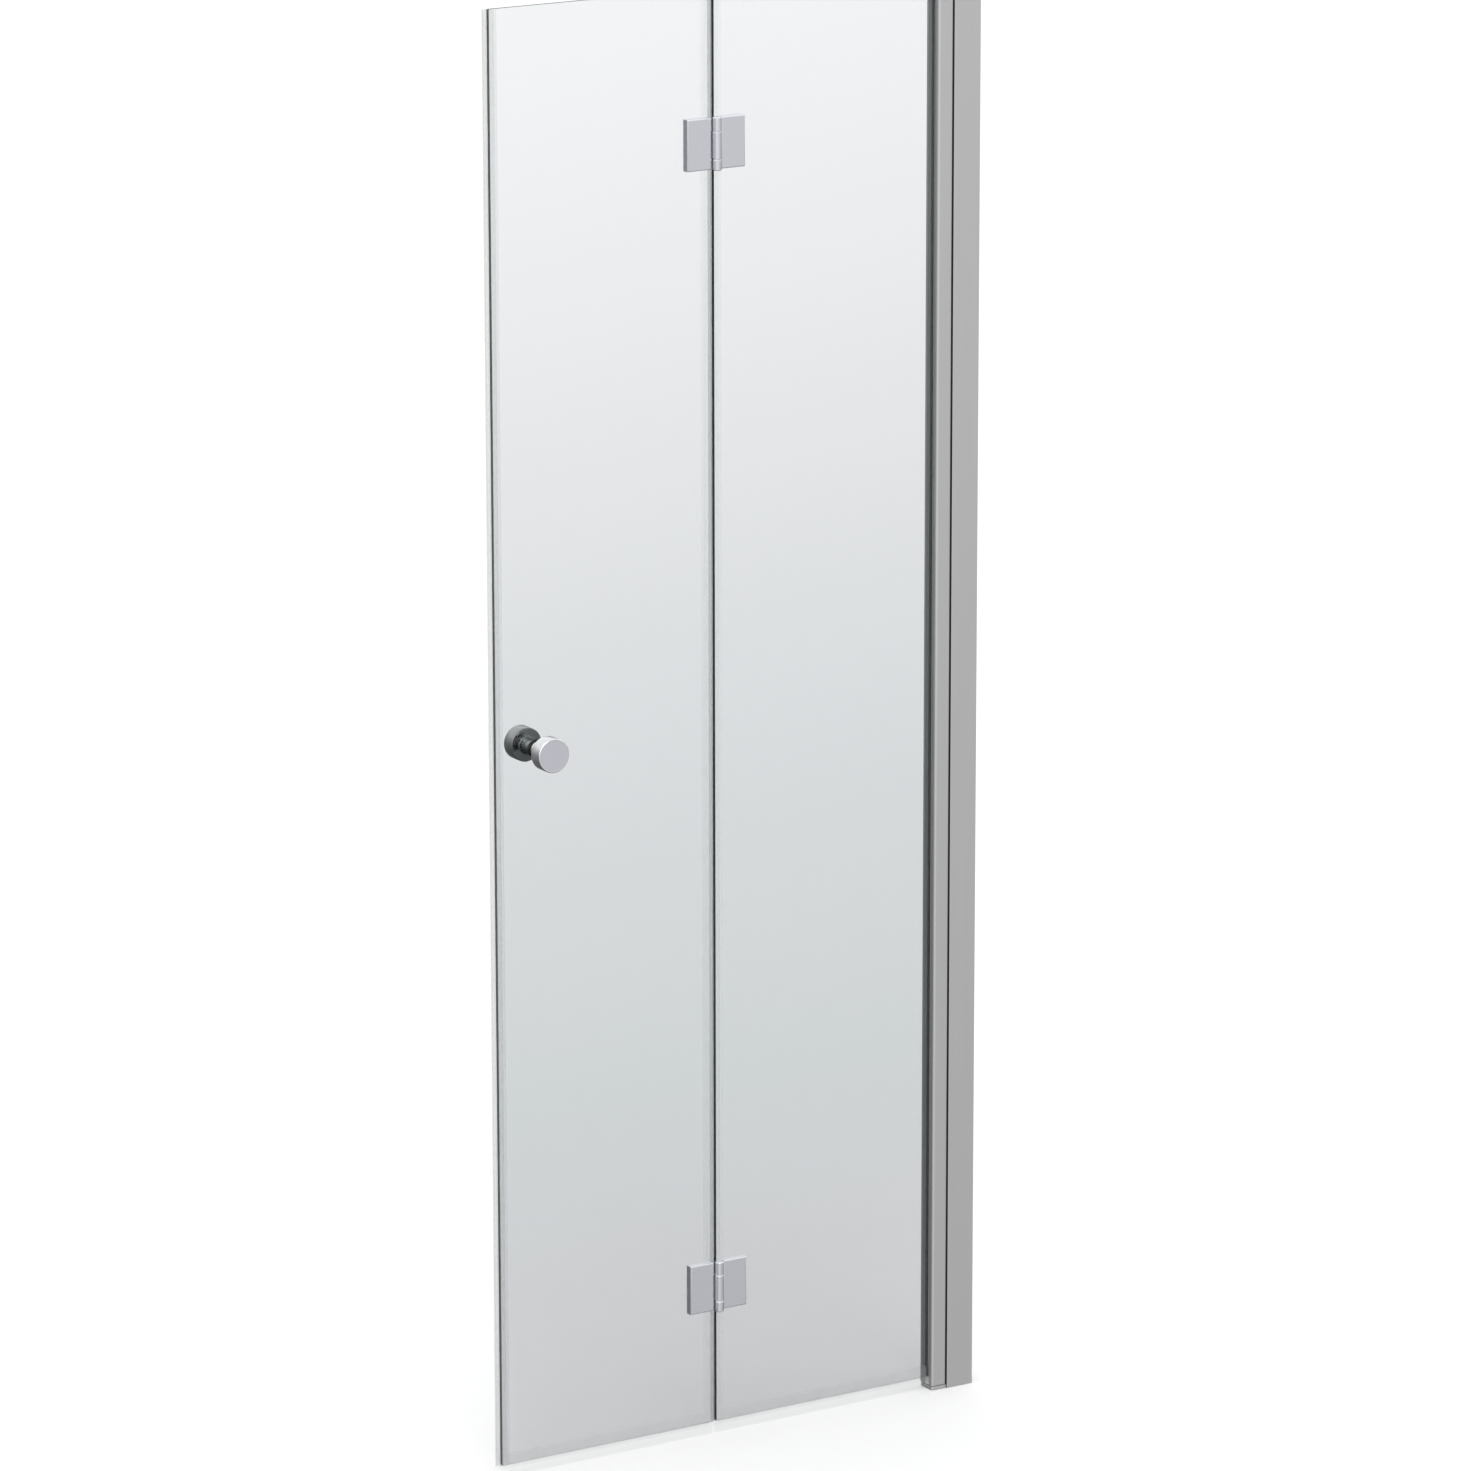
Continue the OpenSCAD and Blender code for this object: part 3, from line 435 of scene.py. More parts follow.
edgeLook = {
    "colour": (0.058, 0.067, 0.065), "change": 0.05, "rough": 0.22, "roughShare": 0.2,
    "shine": 0.2, "bump": 0.02, "depth": 0.05, "grain": (120, 120, 120), "grainDetail": 1.0,
    "fromInside": (0.800, 0.808, 0.806),
}


def polishedEdge():  # dark from outside, and pale where it is seen through the pane itself
    look = edgeLook
    material, tree = startMaterial("polishedGlassEdge")
    grain = pattern(tree, look["grain"], look["grainDetail"])
    rough = spreadOver(tree, grain, look["rough"] * (1 - look["roughShare"]),
                       look["rough"] * (1 + look["roughShare"]))
    ground = addNode(tree, "BsdfPrincipled", {
        "Base Color": toned(tree, grain, look["colour"], look["change"]), "Roughness": rough,
        "Specular IOR Level": look["shine"],
        "Normal": bumped(tree, grain, look["bump"], look["depth"])})
    pale = addNode(tree, "BsdfTransparent", {"Color": opaque(look["fromInside"])})
    inside = addNode(tree, "NewGeometry").outputs["Backfacing"]
    showShader(tree, addNode(tree, "MixShader", {0: inside, 1: ground.outputs[0],
                                                 2: pale.outputs[0]}))
    return material


vinyl = {"streaks": (700, 700, 2), "streakTint": 0.996, "body": (0.81, 0.815, 0.815),
         "rough": (0.10, 0.14)}
# gloss is the reflection straight on and aslant
clipLook = {"tint": (0.989, 0.992, 0.991), "haze": 0.012, "gloss": (0.015, 0.35)}
legLook = {"tint": (0.957, 0.959, 0.959), "haze": 0.012, "gloss": (0.015, 0.35)}
bulbLook = {"tint": (0.918, 0.922, 0.921), "haze": 0.03, "gloss": (0.02, 0.35)}
# painted shade: the darker vinyl between the two sheets
foldShadeLook = {"tint": (0.838, 0.842, 0.841), "haze": 0.008, "gloss": (0.012, 0.3)}


def clearVinyl(name, look):
    material, tree = startMaterial(name)
    streaks = pattern(tree, vinyl["streaks"])
    ramp = addNode(tree, "ValToRGB", {"Fac": streaks})
    setStops(ramp, [(noise["least"], [c * vinyl["streakTint"] for c in look["tint"]]),
                    (noise["most"], look["tint"])])
    clear = addNode(tree, "BsdfTransparent", {"Color": ramp.outputs["Color"]})
    body = addNode(tree, "BsdfDiffuse", {"Color": opaque(vinyl["body"])})
    cloudy = addNode(tree, "MixShader", {0: look["haze"], 1: clear.outputs[0], 2: body.outputs[0]})
    rough = spreadOver(tree, streaks, *vinyl["rough"])
    gloss = addNode(tree, "BsdfGlossy", {"Color": white, "Roughness": rough})
    showShader(tree, mirrored(tree, cloudy.outputs[0], gloss.outputs[0], *look["gloss"]))
    return material


clearGlass = paneGlass()
glassEdge = polishedEdge()
clipVinyl = clearVinyl("clipVinyl", clipLook)
legVinyl = clearVinyl("legVinyl", legLook)
bulbVinyl = clearVinyl("bulbVinyl", bulbLook)
foldShadeVinyl = clearVinyl("foldShadeVinyl", foldShadeLook)
print("finishes mixed:", len(bpy.data.materials))


# mesh making, in mm

past, above = 5, 1  # how far a cutter reaches beyond what it cuts, and above a screw
hair = 0.05  # points and faces this near a plane count as lying on it
bevelFrom, creaseFrom, flatUpTo = 40, 35, 0.05  # degrees between two faces


def upright(u, v, w):  # section lies flat, drawn upwards
    return (u, v, w)


def lengthways(u, v, w):  # section of depth and height, drawn along the door
    return (w, u, v)


def throughDoor(u, v, w):  # section of width and height, drawn through the door
    return (u, w, v)


def scaled(point):  # to metres
    return [c * mm for c in point]


def roundedLoop(points, step=15):  # points are (u, v) or (u, v, radius)
    loop = []
    for i, point in enumerate(points):
        here = Vector(point[:2])
        radius = point[2] if len(point) > 2 else 0
        if radius <= 0:
            loop.append(here)
            continue
        back = (Vector(points[i - 1][:2]) - here).normalized()
        on = (Vector(points[(i + 1) % len(points)][:2]) - here).normalized()
        half = back.angle(on) / 2
        centre = here + (back + on).normalized() * radius / math.sin(half)
        start = here + back * radius / math.tan(half) - centre
        end = here + on * radius / math.tan(half) - centre
        turn = start.angle_signed(end)
        count = max(2, round(abs(math.degrees(turn)) / step))
        for n in range(count + 1):
            angle = -turn * n / count
            loop.append(centre + Vector((start.x * math.cos(angle) - start.y * math.sin(angle),
                                         start.x * math.sin(angle) + start.y * math.cos(angle))))
    return loop


def quarterTurn(step):  # angles of a quarter turn, one every step degrees
    return [math.radians(d) for d in range(0, 91, step)]


def arcPoints(x, y, radius, first, last, count):  # degrees
    angles = [math.radians(first + (last - first) * n / count) for n in range(count + 1)]
    return [(x + radius * math.cos(a), y + radius * math.sin(a)) for a in angles]


def circleLoop(x, y, radius, sides):
    return arcPoints(x, y, radius, 0, 360 * (sides - 1) / sides, sides - 1)


def boxLoop(x0, x1, y0, y1, radius=0):
    return roundedLoop([(x0, y0, radius), (x1, y0, radius), (x1, y1, radius), (x0, y1, radius)])


def drawOut(bm, loops, low, high, place):  # closed solid from an outline and its holes
    ends = []
    for w in (low, high):
        ends.append([[bm.verts.new(scaled(place(u, v, w))) for u, v in loop] for loop in loops])
    walls = []
    for first, second in zip(*ends):
        for n in range(len(first)):
            m = (n + 1) % len(first)
            walls.append(bm.faces.new((first[n], first[m], second[m], second[n])))
    for end in ends:
        if len(end) == 1:
            bm.faces.new(end[0])
            continue
        flat = [[Vector((u, v, 0)) for u, v in loop] for loop in loops]
        verts = [vert for ring in end for vert in ring]
        faces = [bm.faces.new([verts[n] for n in three]) for three in tessellate_polygon(flat)]
        inside = {e for f in faces for e in f.edges if all(g in faces for g in e.link_faces)}
        bmesh.ops.dissolve_limit(bm, angle_limit=math.radians(flatUpTo), verts=[],
                                 edges=list(inside))
    return walls


def turnOnLathe(bm, profile, place, sides):  # profile of (radius, height), from axis to axis
    angles = [2 * math.pi * n / sides for n in range(sides)]
    rings = []
    for radius, height in profile:
        spokes = [(0, 0)] if radius == 0 else [(radius * math.cos(a), radius * math.sin(a))
                                               for a in angles]
        rings.append([bm.verts.new(scaled(place(u, v, height))) for u, v in spokes])
    for first, second in zip(rings, rings[1:]):
        for n in range(sides):
            m = (n + 1) % sides
            around = [first[n % len(first)], first[m % len(first)],
                      second[m % len(second)], second[n % len(second)]]
            bm.faces.new(list(dict.fromkeys(around)))


def asMesh(bm):
    bmesh.ops.recalc_face_normals(bm, faces=bm.faces)
    mesh = bpy.data.meshes.new("part")
    bm.to_mesh(mesh)
    bm.free()
    return mesh


def drawn(loops, low, high, place):
    bm = bmesh.new()
    drawOut(bm, loops, low, high, place)
    return asMesh(bm)


def lathed(profile, place, sides):
    bm = bmesh.new()
    turnOnLathe(bm, profile, place, sides)
    return asMesh(bm)


def combine(mesh, other, operation):  # adds other to mesh or cuts it away
    pair = [bpy.data.objects.new("solid", m) for m in (mesh, other)]
    for obj in pair:
        scene.collection.objects.link(obj)
    step = pair[0].modifiers.new("combine", "BOOLEAN")
    step.operation, step.solver, step.object = operation, "EXACT", pair[1]
    joined = pair[0].evaluated_get(bpy.context.evaluated_depsgraph_get())
    made = bpy.data.meshes.new_from_object(joined)
    for obj in pair:
        bpy.data.objects.remove(obj)
    return made


def cutAll(mesh, cutters):
    for cutter in cutters:
        mesh = combine(mesh, cutter, "DIFFERENCE")
    return mesh


def joinAll(mesh, others):
    for other in others:
        mesh = combine(mesh, other, "UNION")
    return mesh


def finishPiece(name, mesh, body, materials, nodes, bevel, segments=2, bevelSlot=-1):
    mesh.name = name
    for material in materials:
        mesh.materials.append(material)
    piece = bpy.data.objects.new(name, mesh)
    scene.collection.objects.link(piece)
    mesh.shade_smooth()
    if bevel:
        step = piece.modifiers.new("edges", "BEVEL")
        step.width, step.segments, step.limit_method = bevel * mm, segments, "ANGLE"
        step.angle_limit, step.material = math.radians(bevelFrom), bevelSlot
        flat = piece.modifiers.new("flats", "WEIGHTED_NORMAL")
        flat.keep_sharp = True
    else:
        mesh.set_sharp_from_angle(angle=math.radians(creaseFrom))
    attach(piece, body)
    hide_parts(*nodes)


# wall profile, its cap, screws, rubber strip and bearing plates

wallProfile = {
    "skin": 1.8, "web": 2.5, "lipRound": 1.0, "edgeRound": 0.4, "innerRound": 0.6, "bevel": 0.25,
    "wallHoleRadius": 2.75, "wallHoleHeights": (150, 700, 1250, 1800),
    "screwHoleRadius": 2.1, "screwHoleDepth": 6, "screwHeights": (120, 975, 1830), "screwX": -24,
    "holeSides": 32, "lipFacing": 0.7,
}


def makeWallProfile():
    p = wallProfile
    lip, wall, front, back = wallLow.x, wallHigh.x, wallLow.y, wallHigh.y
    skin, edge, inner, sides = p["skin"], p["edgeRound"], p["innerRound"], p["holeSides"]
    section = roundedLoop([
        (lip, front, p["lipRound"]), (wall, front, edge), (wall, back, edge),
        (lip, back, p["lipRound"]), (lip, back - skin, edge), (wall - p["web"], back - skin, inner),
        (wall - p["web"], front + skin, inner), (lip, front + skin, edge)])
    cutters = [drawn([circleLoop(0, z, p["wallHoleRadius"], sides)], -2 * past, past, lengthways)
               for z in p["wallHoleHeights"]]
    cutters += [drawn([circleLoop(p["screwX"], z, p["screwHoleRadius"], sides)],
                      back - p["screwHoleDepth"], back + past, throughDoor)
                for z in p["screwHeights"]]
    mesh = cutAll(drawn([section], wallLow.z, wallHigh.z, upright), cutters)
    for face in mesh.polygons:  # painted shade on the edge of the front lip, in the shadow gap
        if face.normal.x < -p["lipFacing"] and face.center.y / mm < front + skin:
            face.material_index = 1
    finishPiece("wallProfile", mesh, "frame", [satinAluminium, lipShadeFinish],
                ["wall_profile"], p["bevel"])


capShape = {
    "bevel": 0.6, "bevelSteps": 3, "cornerRound": 1.0, "edgeRound": 0.4, "plugFrom": -12.3,
    "plugShort": 2.7, "plugInset": 2, "plugRound": 0.5, "plugInPlate": 0.5,
}


def makeWallCap():
    p = capShape
    low, high = corners("wall_top_cap")
    corner, edge, inset = p["cornerRound"], p["edgeRound"], p["plugInset"]
    plate = drawn([roundedLoop([(low.x, low.y, corner), (high.x, low.y, edge),
                                (high.x, high.y, edge), (low.x, high.y, corner)])],
                  wallHigh.z, high.z, upright)
    plug = drawn([boxLoop(p["plugFrom"], high.x - p["plugShort"], low.y + inset, high.y - inset,
                          p["plugRound"])], low.z, wallHigh.z + p["plugInPlate"], upright)
    finishPiece("wallCap", joinAll(plate, [plug]), "frame", [silverPlastic],
                ["wall_top_cap"], p["bevel"], p["bevelSteps"])


panScrew = {
    "headRadius": 3.8, "headHeight": 2.2, "rimShare": 0.35, "shankRadius": 1.95, "shank": 7,
    "recess": 1.3, "arm": 0.42, "armReach": 2.0, "domeStep": 10, "sides": 48,
}


def makeAdjustingScrews():
    p = panScrew
    face, rim, arm, reach = wallHigh.y, p["rimShare"], p["arm"], p["armReach"]
    dome = [(p["headRadius"] * math.sin(a), p["headHeight"] * (rim + (1 - rim) * math.cos(a)))
            for a in quarterTurn(p["domeStep"])]
    profile = dome + [(p["headRadius"], 0), (p["shankRadius"], 0), (p["shankRadius"], -p["shank"]),
                      (0, -p["shank"])]
    cross = [(-reach, -arm), (-arm, -arm), (-arm, -reach), (arm, -reach), (arm, -arm),
             (reach, -arm), (reach, arm), (arm, arm), (arm, reach), (-arm, reach), (-arm, arm),
             (-reach, arm)]
    whole = None
    for z in wallProfile["screwHeights"]:
        def place(u, v, w, z=z):
            return (wallProfile["screwX"] + u, face + w, z + v)
        recess = drawn([cross], p["headHeight"] - p["recess"], p["headHeight"] + above, place)
        screw = cutAll(lathed(profile, place, p["sides"]), [recess])
        whole = screw if whole is None else joinAll(whole, [screw])
    finishPiece("adjustingScrews", whole, "frame", [stainlessSteel],
                ["adjusting_screws"], 0)


stripShape = {
    "round": 1.0, "seat": -39.5, "neckHalf": 1.0, "neckDepth": 1.6, "footHalf": 2.0,
    "footDepth": 3.0, "footRound": 0.4, "bevel": 0.15,
}


def makeGapStrip():
    p = stripShape
    low, high = corners("gap_strip")
    middle = (low.y + high.y) / 2
    seat, neck, foot = p["seat"], p["seat"] + p["neckDepth"], p["seat"] + p["footDepth"]
    neckFront, neckBack = middle - p["neckHalf"], middle + p["neckHalf"]
    footFront, footBack = middle - p["footHalf"], middle + p["footHalf"]
    section = roundedLoop([
        (low.x, low.y, p["round"]), (seat, low.y), (seat, neckFront), (neck, neckFront),
        (neck, footFront), (foot, footFront, p["footRound"]), (foot, footBack, p["footRound"]),
        (neck, footBack), (neck, neckBack), (seat, neckBack), (seat, high.y),
        (low.x, high.y, p["round"])])
    finishPiece("gapStrip", drawn([section], low.z, high.z, upright), "frame",
                [blackRubber], ["gap_strip"], p["bevel"])


plateShape = {"sweep": 14.9, "arcSteps": 4, "cornerRound": 3.5, "frontInset": 0.5,
              "armRoom": 0.1, "armHalf": 30, "bevel": 0.4}


def makeBearingPlates():
    p = plateShape
    x, y, r = *pivotAxis, p["sweep"]
    for level in ("lower", "upper"):
        low, high = corners(level + "_bearing_plate")
        sideAngle = math.degrees(math.acos((low.x - x) / r))
        backAngle = math.degrees(math.asin((pivotHigh.y - y) / r))
        front = pivotLow.y + p["frontInset"]
        outline = roundedLoop([(low.x, pivotLow.y, p["cornerRound"]), (pivotHigh.x, pivotLow.y),
                               (pivotHigh.x, front), (high.x, front), (high.x, pivotHigh.y)]
                              + arcPoints(x, y, r, 180 - backAngle, sideAngle, p["arcSteps"]))
        mesh = drawn([outline], low.z, high.z, upright)
        if level == "upper":  # its arm lies under the top cap
            room = boxLoop(wallLow.x - p["armRoom"], past, -p["armHalf"], p["armHalf"])
            mesh = cutAll(mesh, [drawn([room], wallHigh.z, high.z + past, upright)])
        finishPiece(level + "BearingPlate", mesh, "frame", [castZinc],
                    [level + "_bearing_plate"], p["bevel"])


makeWallProfile()
makeWallCap()
makeAdjustingScrews()
makeGapStrip()
makeBearingPlates()
print("wall side built")


# pivot profile, glazing gasket and setting block

pivotProfile = {
    "leadRound": 3.5, "smallRound": 1.0, "turnRound": 7.5, "slotHalf": 4.0, "slotEnd": -52.7,
    "slotRound": 0.3, "mouthRound": 0.4, "bore": 4.5, "boreSides": 48, "skin": 1.8,
    "roundStep": 10, "bevel": 0.25,
}


def makePivotProfile():
    p = pivotProfile
    left, right, front, back = pivotLow.x, pivotHigh.x, pivotLow.y, pivotHigh.y
    half, skin, end, small = p["slotHalf"], p["skin"], p["slotEnd"], p["smallRound"]
    section = roundedLoop([
        (left, front, p["leadRound"]), (right, front, small), (right, back, p["turnRound"]),
        (left, back, small), (left, half, p["mouthRound"]), (end, half, p["slotRound"]),
        (end, -half, p["slotRound"]), (left, -half, p["mouthRound"])], p["roundStep"])
    holes = [circleLoop(*pivotAxis, p["bore"], p["boreSides"]),
             boxLoop(left + 2 * skin, right - skin, front + skin, -half - skin, small),
             boxLoop(left + skin, pivotAxis[0] - p["bore"] - skin, half + skin, back - skin, small)]
    finishPiece("pivotProfile", drawn([section] + holes, pivotLow.z, pivotHigh.z, upright),
                "inner_panel", [satinAluminium], ["pivot_profile"], p["bevel"])


gasketShape = {"thickness": 1.0, "round": 0.5, "lipWidth": 8.0, "lipThickness": 1.6,
               "lipRound": 0.8, "lipFrom": 31.8, "bevel": 0.12}


def makeGasket():
    p = gasketShape
    low, high = corners("glazing_gasket")
    t, edge, end, half = p["thickness"], pivotLow.x, pivotProfile["slotEnd"], glassHalf
    lip, lipBack = edge - p["lipThickness"], half + p["lipWidth"]
    channel = roundedLoop([
        (edge, half), (end - t, half), (end - t, -half), (edge, -half), (edge, -half - t),
        (end, -half - t), (end, half + t), (edge, half + t)])
    lipped = roundedLoop([
        (lip, half), (end - t, half), (end - t, -half), (edge - t, -half),
        (edge - t, -half - t, p["round"]), (end, -half - t), (end, half + t), (edge, half + t),
        (edge, lipBack), (lip, lipBack, p["lipRound"])])
    mesh = joinAll(drawn([lipped], p["lipFrom"], high.z, upright),
                   [drawn([channel], low.z, p["lipFrom"], upright)])
    finishPiece("glazingGasket", mesh, "inner_panel", [greyRubber],
                ["glazing_gasket"], p["bevel"])


blockShape = {"sideRoom": 0.2, "topRoom": 0.1, "round": 0.3, "bevel": 0.3}


def makeSettingBlock():
    p = blockShape
    low, high = corners("setting_block")
    mesh = drawn([boxLoop(low.x + p["sideRoom"], high.x, low.y, high.y, p["round"])],
                 low.z, high.z - p["topRoom"], upright)
    finishPiece("settingBlock", mesh, "inner_panel", [silverPlastic],
                ["setting_block"], p["bevel"])


makePivotProfile()
makeGasket()
makeSettingBlock()
print("pivot profile built")


# glass

glassSheets = {
    "chamfer": 0.6, "cornerRound": 1.2, "hingeHoleRadius": 4.6, "holeFromFold": 25.6,
    "holePitch": 32, "knobHoleRadius": 6.2, "holeSides": 48,
    "clear": 0.02,  # kept off the seals and pads that touch the glass
    "stepRoom": 0.3,  # the inner sheet steps down beside the upper bearing plate
}


def sheetOutline(low, high, topRight):  # topRight holds the points at that corner
    r, c = glassSheets["cornerRound"], glassSheets["clear"]
    return [(low.x + c, low.z + c, r), (high.x - c, low.z + c, r), *topRight,
            (low.x + c, high.z, r)]


def makeGlass(name, node, body, outline, side):
    p = glassSheets
    holes = [circleLoop(foldX + side * p["holeFromFold"], z + s * p["holePitch"] / 2,
                        p["hingeHoleRadius"], p["holeSides"])
             for z in hingeZ.values() for s in (-1, 1)]
    if side < 0:
        holes.append(circleLoop(knobX, knobZ, p["knobHoleRadius"], p["holeSides"]))
    bm = bmesh.new()
    thin = glassHalf - p["clear"]
    for wall in drawOut(bm, [roundedLoop(outline)] + holes, -thin, thin, throughDoor):
        wall.material_index = 1
    finishPiece(name, asMesh(bm), body, [clearGlass, glassEdge], [node],
                p["chamfer"], segments=1, bevelSlot=1)


def makeSheets():
    p = glassSheets
    step, right = pivotLow.x - p["stepRoom"], innerHigh.x - p["clear"]
    stepped = [(right, pivotHigh.z), (step, pivotHigh.z), (step, innerHigh.z)]
    makeGlass("innerGlass", "inner_glass", "inner_panel",
              sheetOutline(innerLow, innerHigh, stepped), 1)
    corner = [(outerHigh.x - p["clear"], outerHigh.z, p["cornerRound"])]
    makeGlass("outerGlass", "outer_glass", "outer_panel",
              sheetOutline(outerLow, outerHigh, corner), -1)


makeSheets()
print("glass cut")


# clip-on seals

# a leaf of the fold hinges, which the fold seals leave room for
hingeLeaf = {"fromFold": 7.6, "width": 36, "height": 67, "back": -4, "face": -14,
             "faceRound": 1.6, "roundSteps": 5, "bevel": 0.2}
sealShape = {
    "wall": 1.0, "leg": 10.4, "bottomLeg": 13.5, "cornerRound": 0.6, "edgeRound": 0.4,
    "bulbRadius": 3.8, "bulbWall": 0.8, "bulbSides": 40, "neckShare": 0.5,
    "foldBulbRadius": 1.85, "foldHollowShare": 0.55, "foldHollowSides": 24, "foldArcSteps": 16,
    "hingeRoom": 1.0, "hingeRoomDepth": 6, "apart": 0.3, "nearEdge": 0.1, "bevel": 0.12,
    "lip": 0.9, "taper": 0.4, "taperHalf": 0.36, "tipHalf": 0.225,
    "dripReach": 7.0, "dripDrop": 9.0, "dripRoot": 0.4, "dripCurve": 1.5, "dripSteps": 8,
    "dripShare": 0.95, "dripRise": 0.15,
}


def clipPoints(edge, side):  # clip on a glass edge at x = edge, open towards the glass on side
    p = sealShape
    half, outer = glassHalf, glassHalf + p["wall"]
    tip, shut = edge + side * p["leg"], edge - side * p["wall"]
    return [(shut, outer, p["cornerRound"]), (tip, outer, p["edgeRound"]), (tip, half),
            (edge, half), (edge, -half), (tip, -half), (tip, -outer, p["edgeRound"]),
            (shut, -outer, p["cornerRound"])]


def hingeCutters(side):
    p = sealShape
    x0 = foldX + side * (hingeLeaf["fromFold"] - p["hingeRoom"])
    x1 = foldX + side * (hingeLeaf["fromFold"] + hingeLeaf["width"])
    reach = hingeLeaf["height"] / 2 + p["hingeRoom"]
    room = boxLoop(min(x0, x1), max(x0, x1), -p["hingeRoomDepth"], p["hingeRoomDepth"])
    return [drawn([room], z - reach, z + reach, upright) for z in hingeZ.values()]


def shadeFold(mesh):  # the wall and bulb between the two sheets get a darker vinyl, painted shade between the sheets
    for face in mesh.polygons:
        if abs(face.center.x / mm - foldX) < (innerLow.x - foldX) + sealShape["nearEdge"]:
            face.material_index = 1
    return mesh


def makeLeadingSeal():  # clip, short neck and hollow bulb
    p = sealShape
    bulb = p["bulbRadius"]
    bulbX = outerLow.x - p["wall"] - bulb
    neck = math.degrees(math.asin(p["neckShare"]))
    around = arcPoints(bulbX, 0, bulb, -neck, neck - 360, p["bulbSides"])
    section = roundedLoop(clipPoints(outerLow.x, 1) + around)
    hollow = circleLoop(bulbX, 0, bulb - p["bulbWall"], p["bulbSides"])
    mesh = drawn([section, hollow], outerLow.z, outerHigh.z, upright)
    for face in mesh.polygons:  # the legs on the glass are of a paler vinyl than the bulb
        face.material_index = int(face.center.x / mm < outerLow.x + p["nearEdge"])
    finishPiece("leadingSeal", mesh, "outer_panel", [legVinyl, bulbVinyl],
                ["leading_seal"], p["bevel"])


def makeFoldSeals():  # a plain clip on the wall-side sheet, a small bulb on the leading one
    p = sealShape
    low, high = outerLow.z, outerHigh.z
    plain = drawn([roundedLoop(clipPoints(innerLow.x, 1))], low, high, upright)
    finishPiece("innerFoldSeal", shadeFold(cutAll(plain, hingeCutters(1))), "inner_panel",
                [clipVinyl, foldShadeVinyl], ["inner_fold_seal"], p["bevel"])
    bulb = p["foldBulbRadius"]
    shut = outerHigh.x + p["wall"]
    arc = arcPoints(shut + bulb, 0, bulb, -90, 90, p["foldArcSteps"])
    section = roundedLoop(clipPoints(outerHigh.x, -1) + [(shut, -bulb)] + arc + [(shut, bulb)])
    hollow = circleLoop(shut + bulb, 0, bulb * p["foldHollowShare"], p["foldHollowSides"])
    bulbed = drawn([section, hollow], low, high, upright)
    finishPiece("outerFoldSeal", shadeFold(cutAll(bulbed, hingeCutters(-1))), "outer_panel",
                [clipVinyl, foldShadeVinyl], ["outer_fold_seal"], p["bevel"])


def bottomSeal(name, node, body, x0, x1, clip0, clip1):
    p = sealShape
    low, foot = outerLow.z - p["wall"], corners(node)[0].z
    half, outer = glassHalf, glassHalf + p["wall"]
    top, corner, edge = outerLow.z + p["bottomLeg"], p["cornerRound"], p["edgeRound"]
    clip = roundedLoop([(-outer, low, corner), (outer, low, corner), (outer, top, edge),
                        (half, top), (half, outerLow.z), (-half, outerLow.z), (-half, top),
                        (-outer, top, edge)])
    lip, root = p["lip"], p["dripRoot"]
    drip = [(half - lip + p["dripReach"] * s,
             low + root - (p["dripDrop"] + root) * s ** p["dripCurve"])
            for s in (n / p["dripSteps"] for n in range(p["dripSteps"] + 1))]
    dripBack = [(u + lip * p["dripShare"], v + p["dripRise"]) for u, v in reversed(drip[1:])]
    taper, thick, thin = foot + p["taper"], p["taperHalf"], p["tipHalf"]
    blade = [(-half, low), (-lip / 2, low), (-thick, taper), (-thin, foot),
             (thin, foot), (thick, taper), (lip / 2, low)]
    lips = roundedLoop(blade + drip[1:] + dripBack + [(half, low), (half, low + p["wall"]),
                                                      (-half, low + p["wall"])])
    mesh = joinAll(drawn([lips], x0, x1, lengthways), [drawn([clip], clip0, clip1, lengthways)])
    finishPiece(name, mesh, body, [clipVinyl], [node], 0)


def makeBottomSeals():
    p = sealShape
    room = p["leg"] + p["apart"]
    innerEnd = pivotLow.x - p["apart"]
    bottomSeal("innerBottomSeal", "inner_bottom_seal", "inner_panel", innerLow.x, innerEnd,
               innerLow.x + room, innerEnd)
    bottomSeal("outerBottomSeal", "outer_bottom_seal", "outer_panel", outerLow.x, outerHigh.x,
               outerLow.x + room, outerHigh.x - room)


makeLeadingSeal()
makeFoldSeals()
makeBottomSeals()
print("seals clipped on")


# fold hinges

hingeShape = {
    "axisY": -15.7, "knuckleRadius": 5.9, "knuckleChamfer": 0.8, "knuckleTop": 18,
    "knuckleLow": 14.4, "knuckleSides": 64, "gap": 0.3, "pinRadius": 2.5, "pinPlay": 0.05,
    "pinInset": 0.6, "boreReach": 60, "boreSides": 48, "webBack": -7.8, "webFront": -10.8,
    "webReach": 2.6, "webInset": 0.5, "slitFacing": 0.9,
}


def leafMesh(place):
    p = hingeLeaf
    x0, x1 = p["fromFold"], p["fromFold"] + p["width"]
    tall = p["height"] / 2
    bm = bmesh.new()
    drawOut(bm, [boxLoop(x0, x1, p["face"], p["back"])], -tall, tall, place)
    bmesh.ops.recalc_face_normals(bm, faces=bm.faces)
    front = [e for e in bm.edges if all(abs(v.co.y / mm - p["face"]) < hair for v in e.verts)]
    bmesh.ops.bevel(bm, geom=front, offset=p["faceRound"] * mm, segments=p["roundSteps"],
                    profile=0.5, affect="EDGES")
    return asMesh(bm)


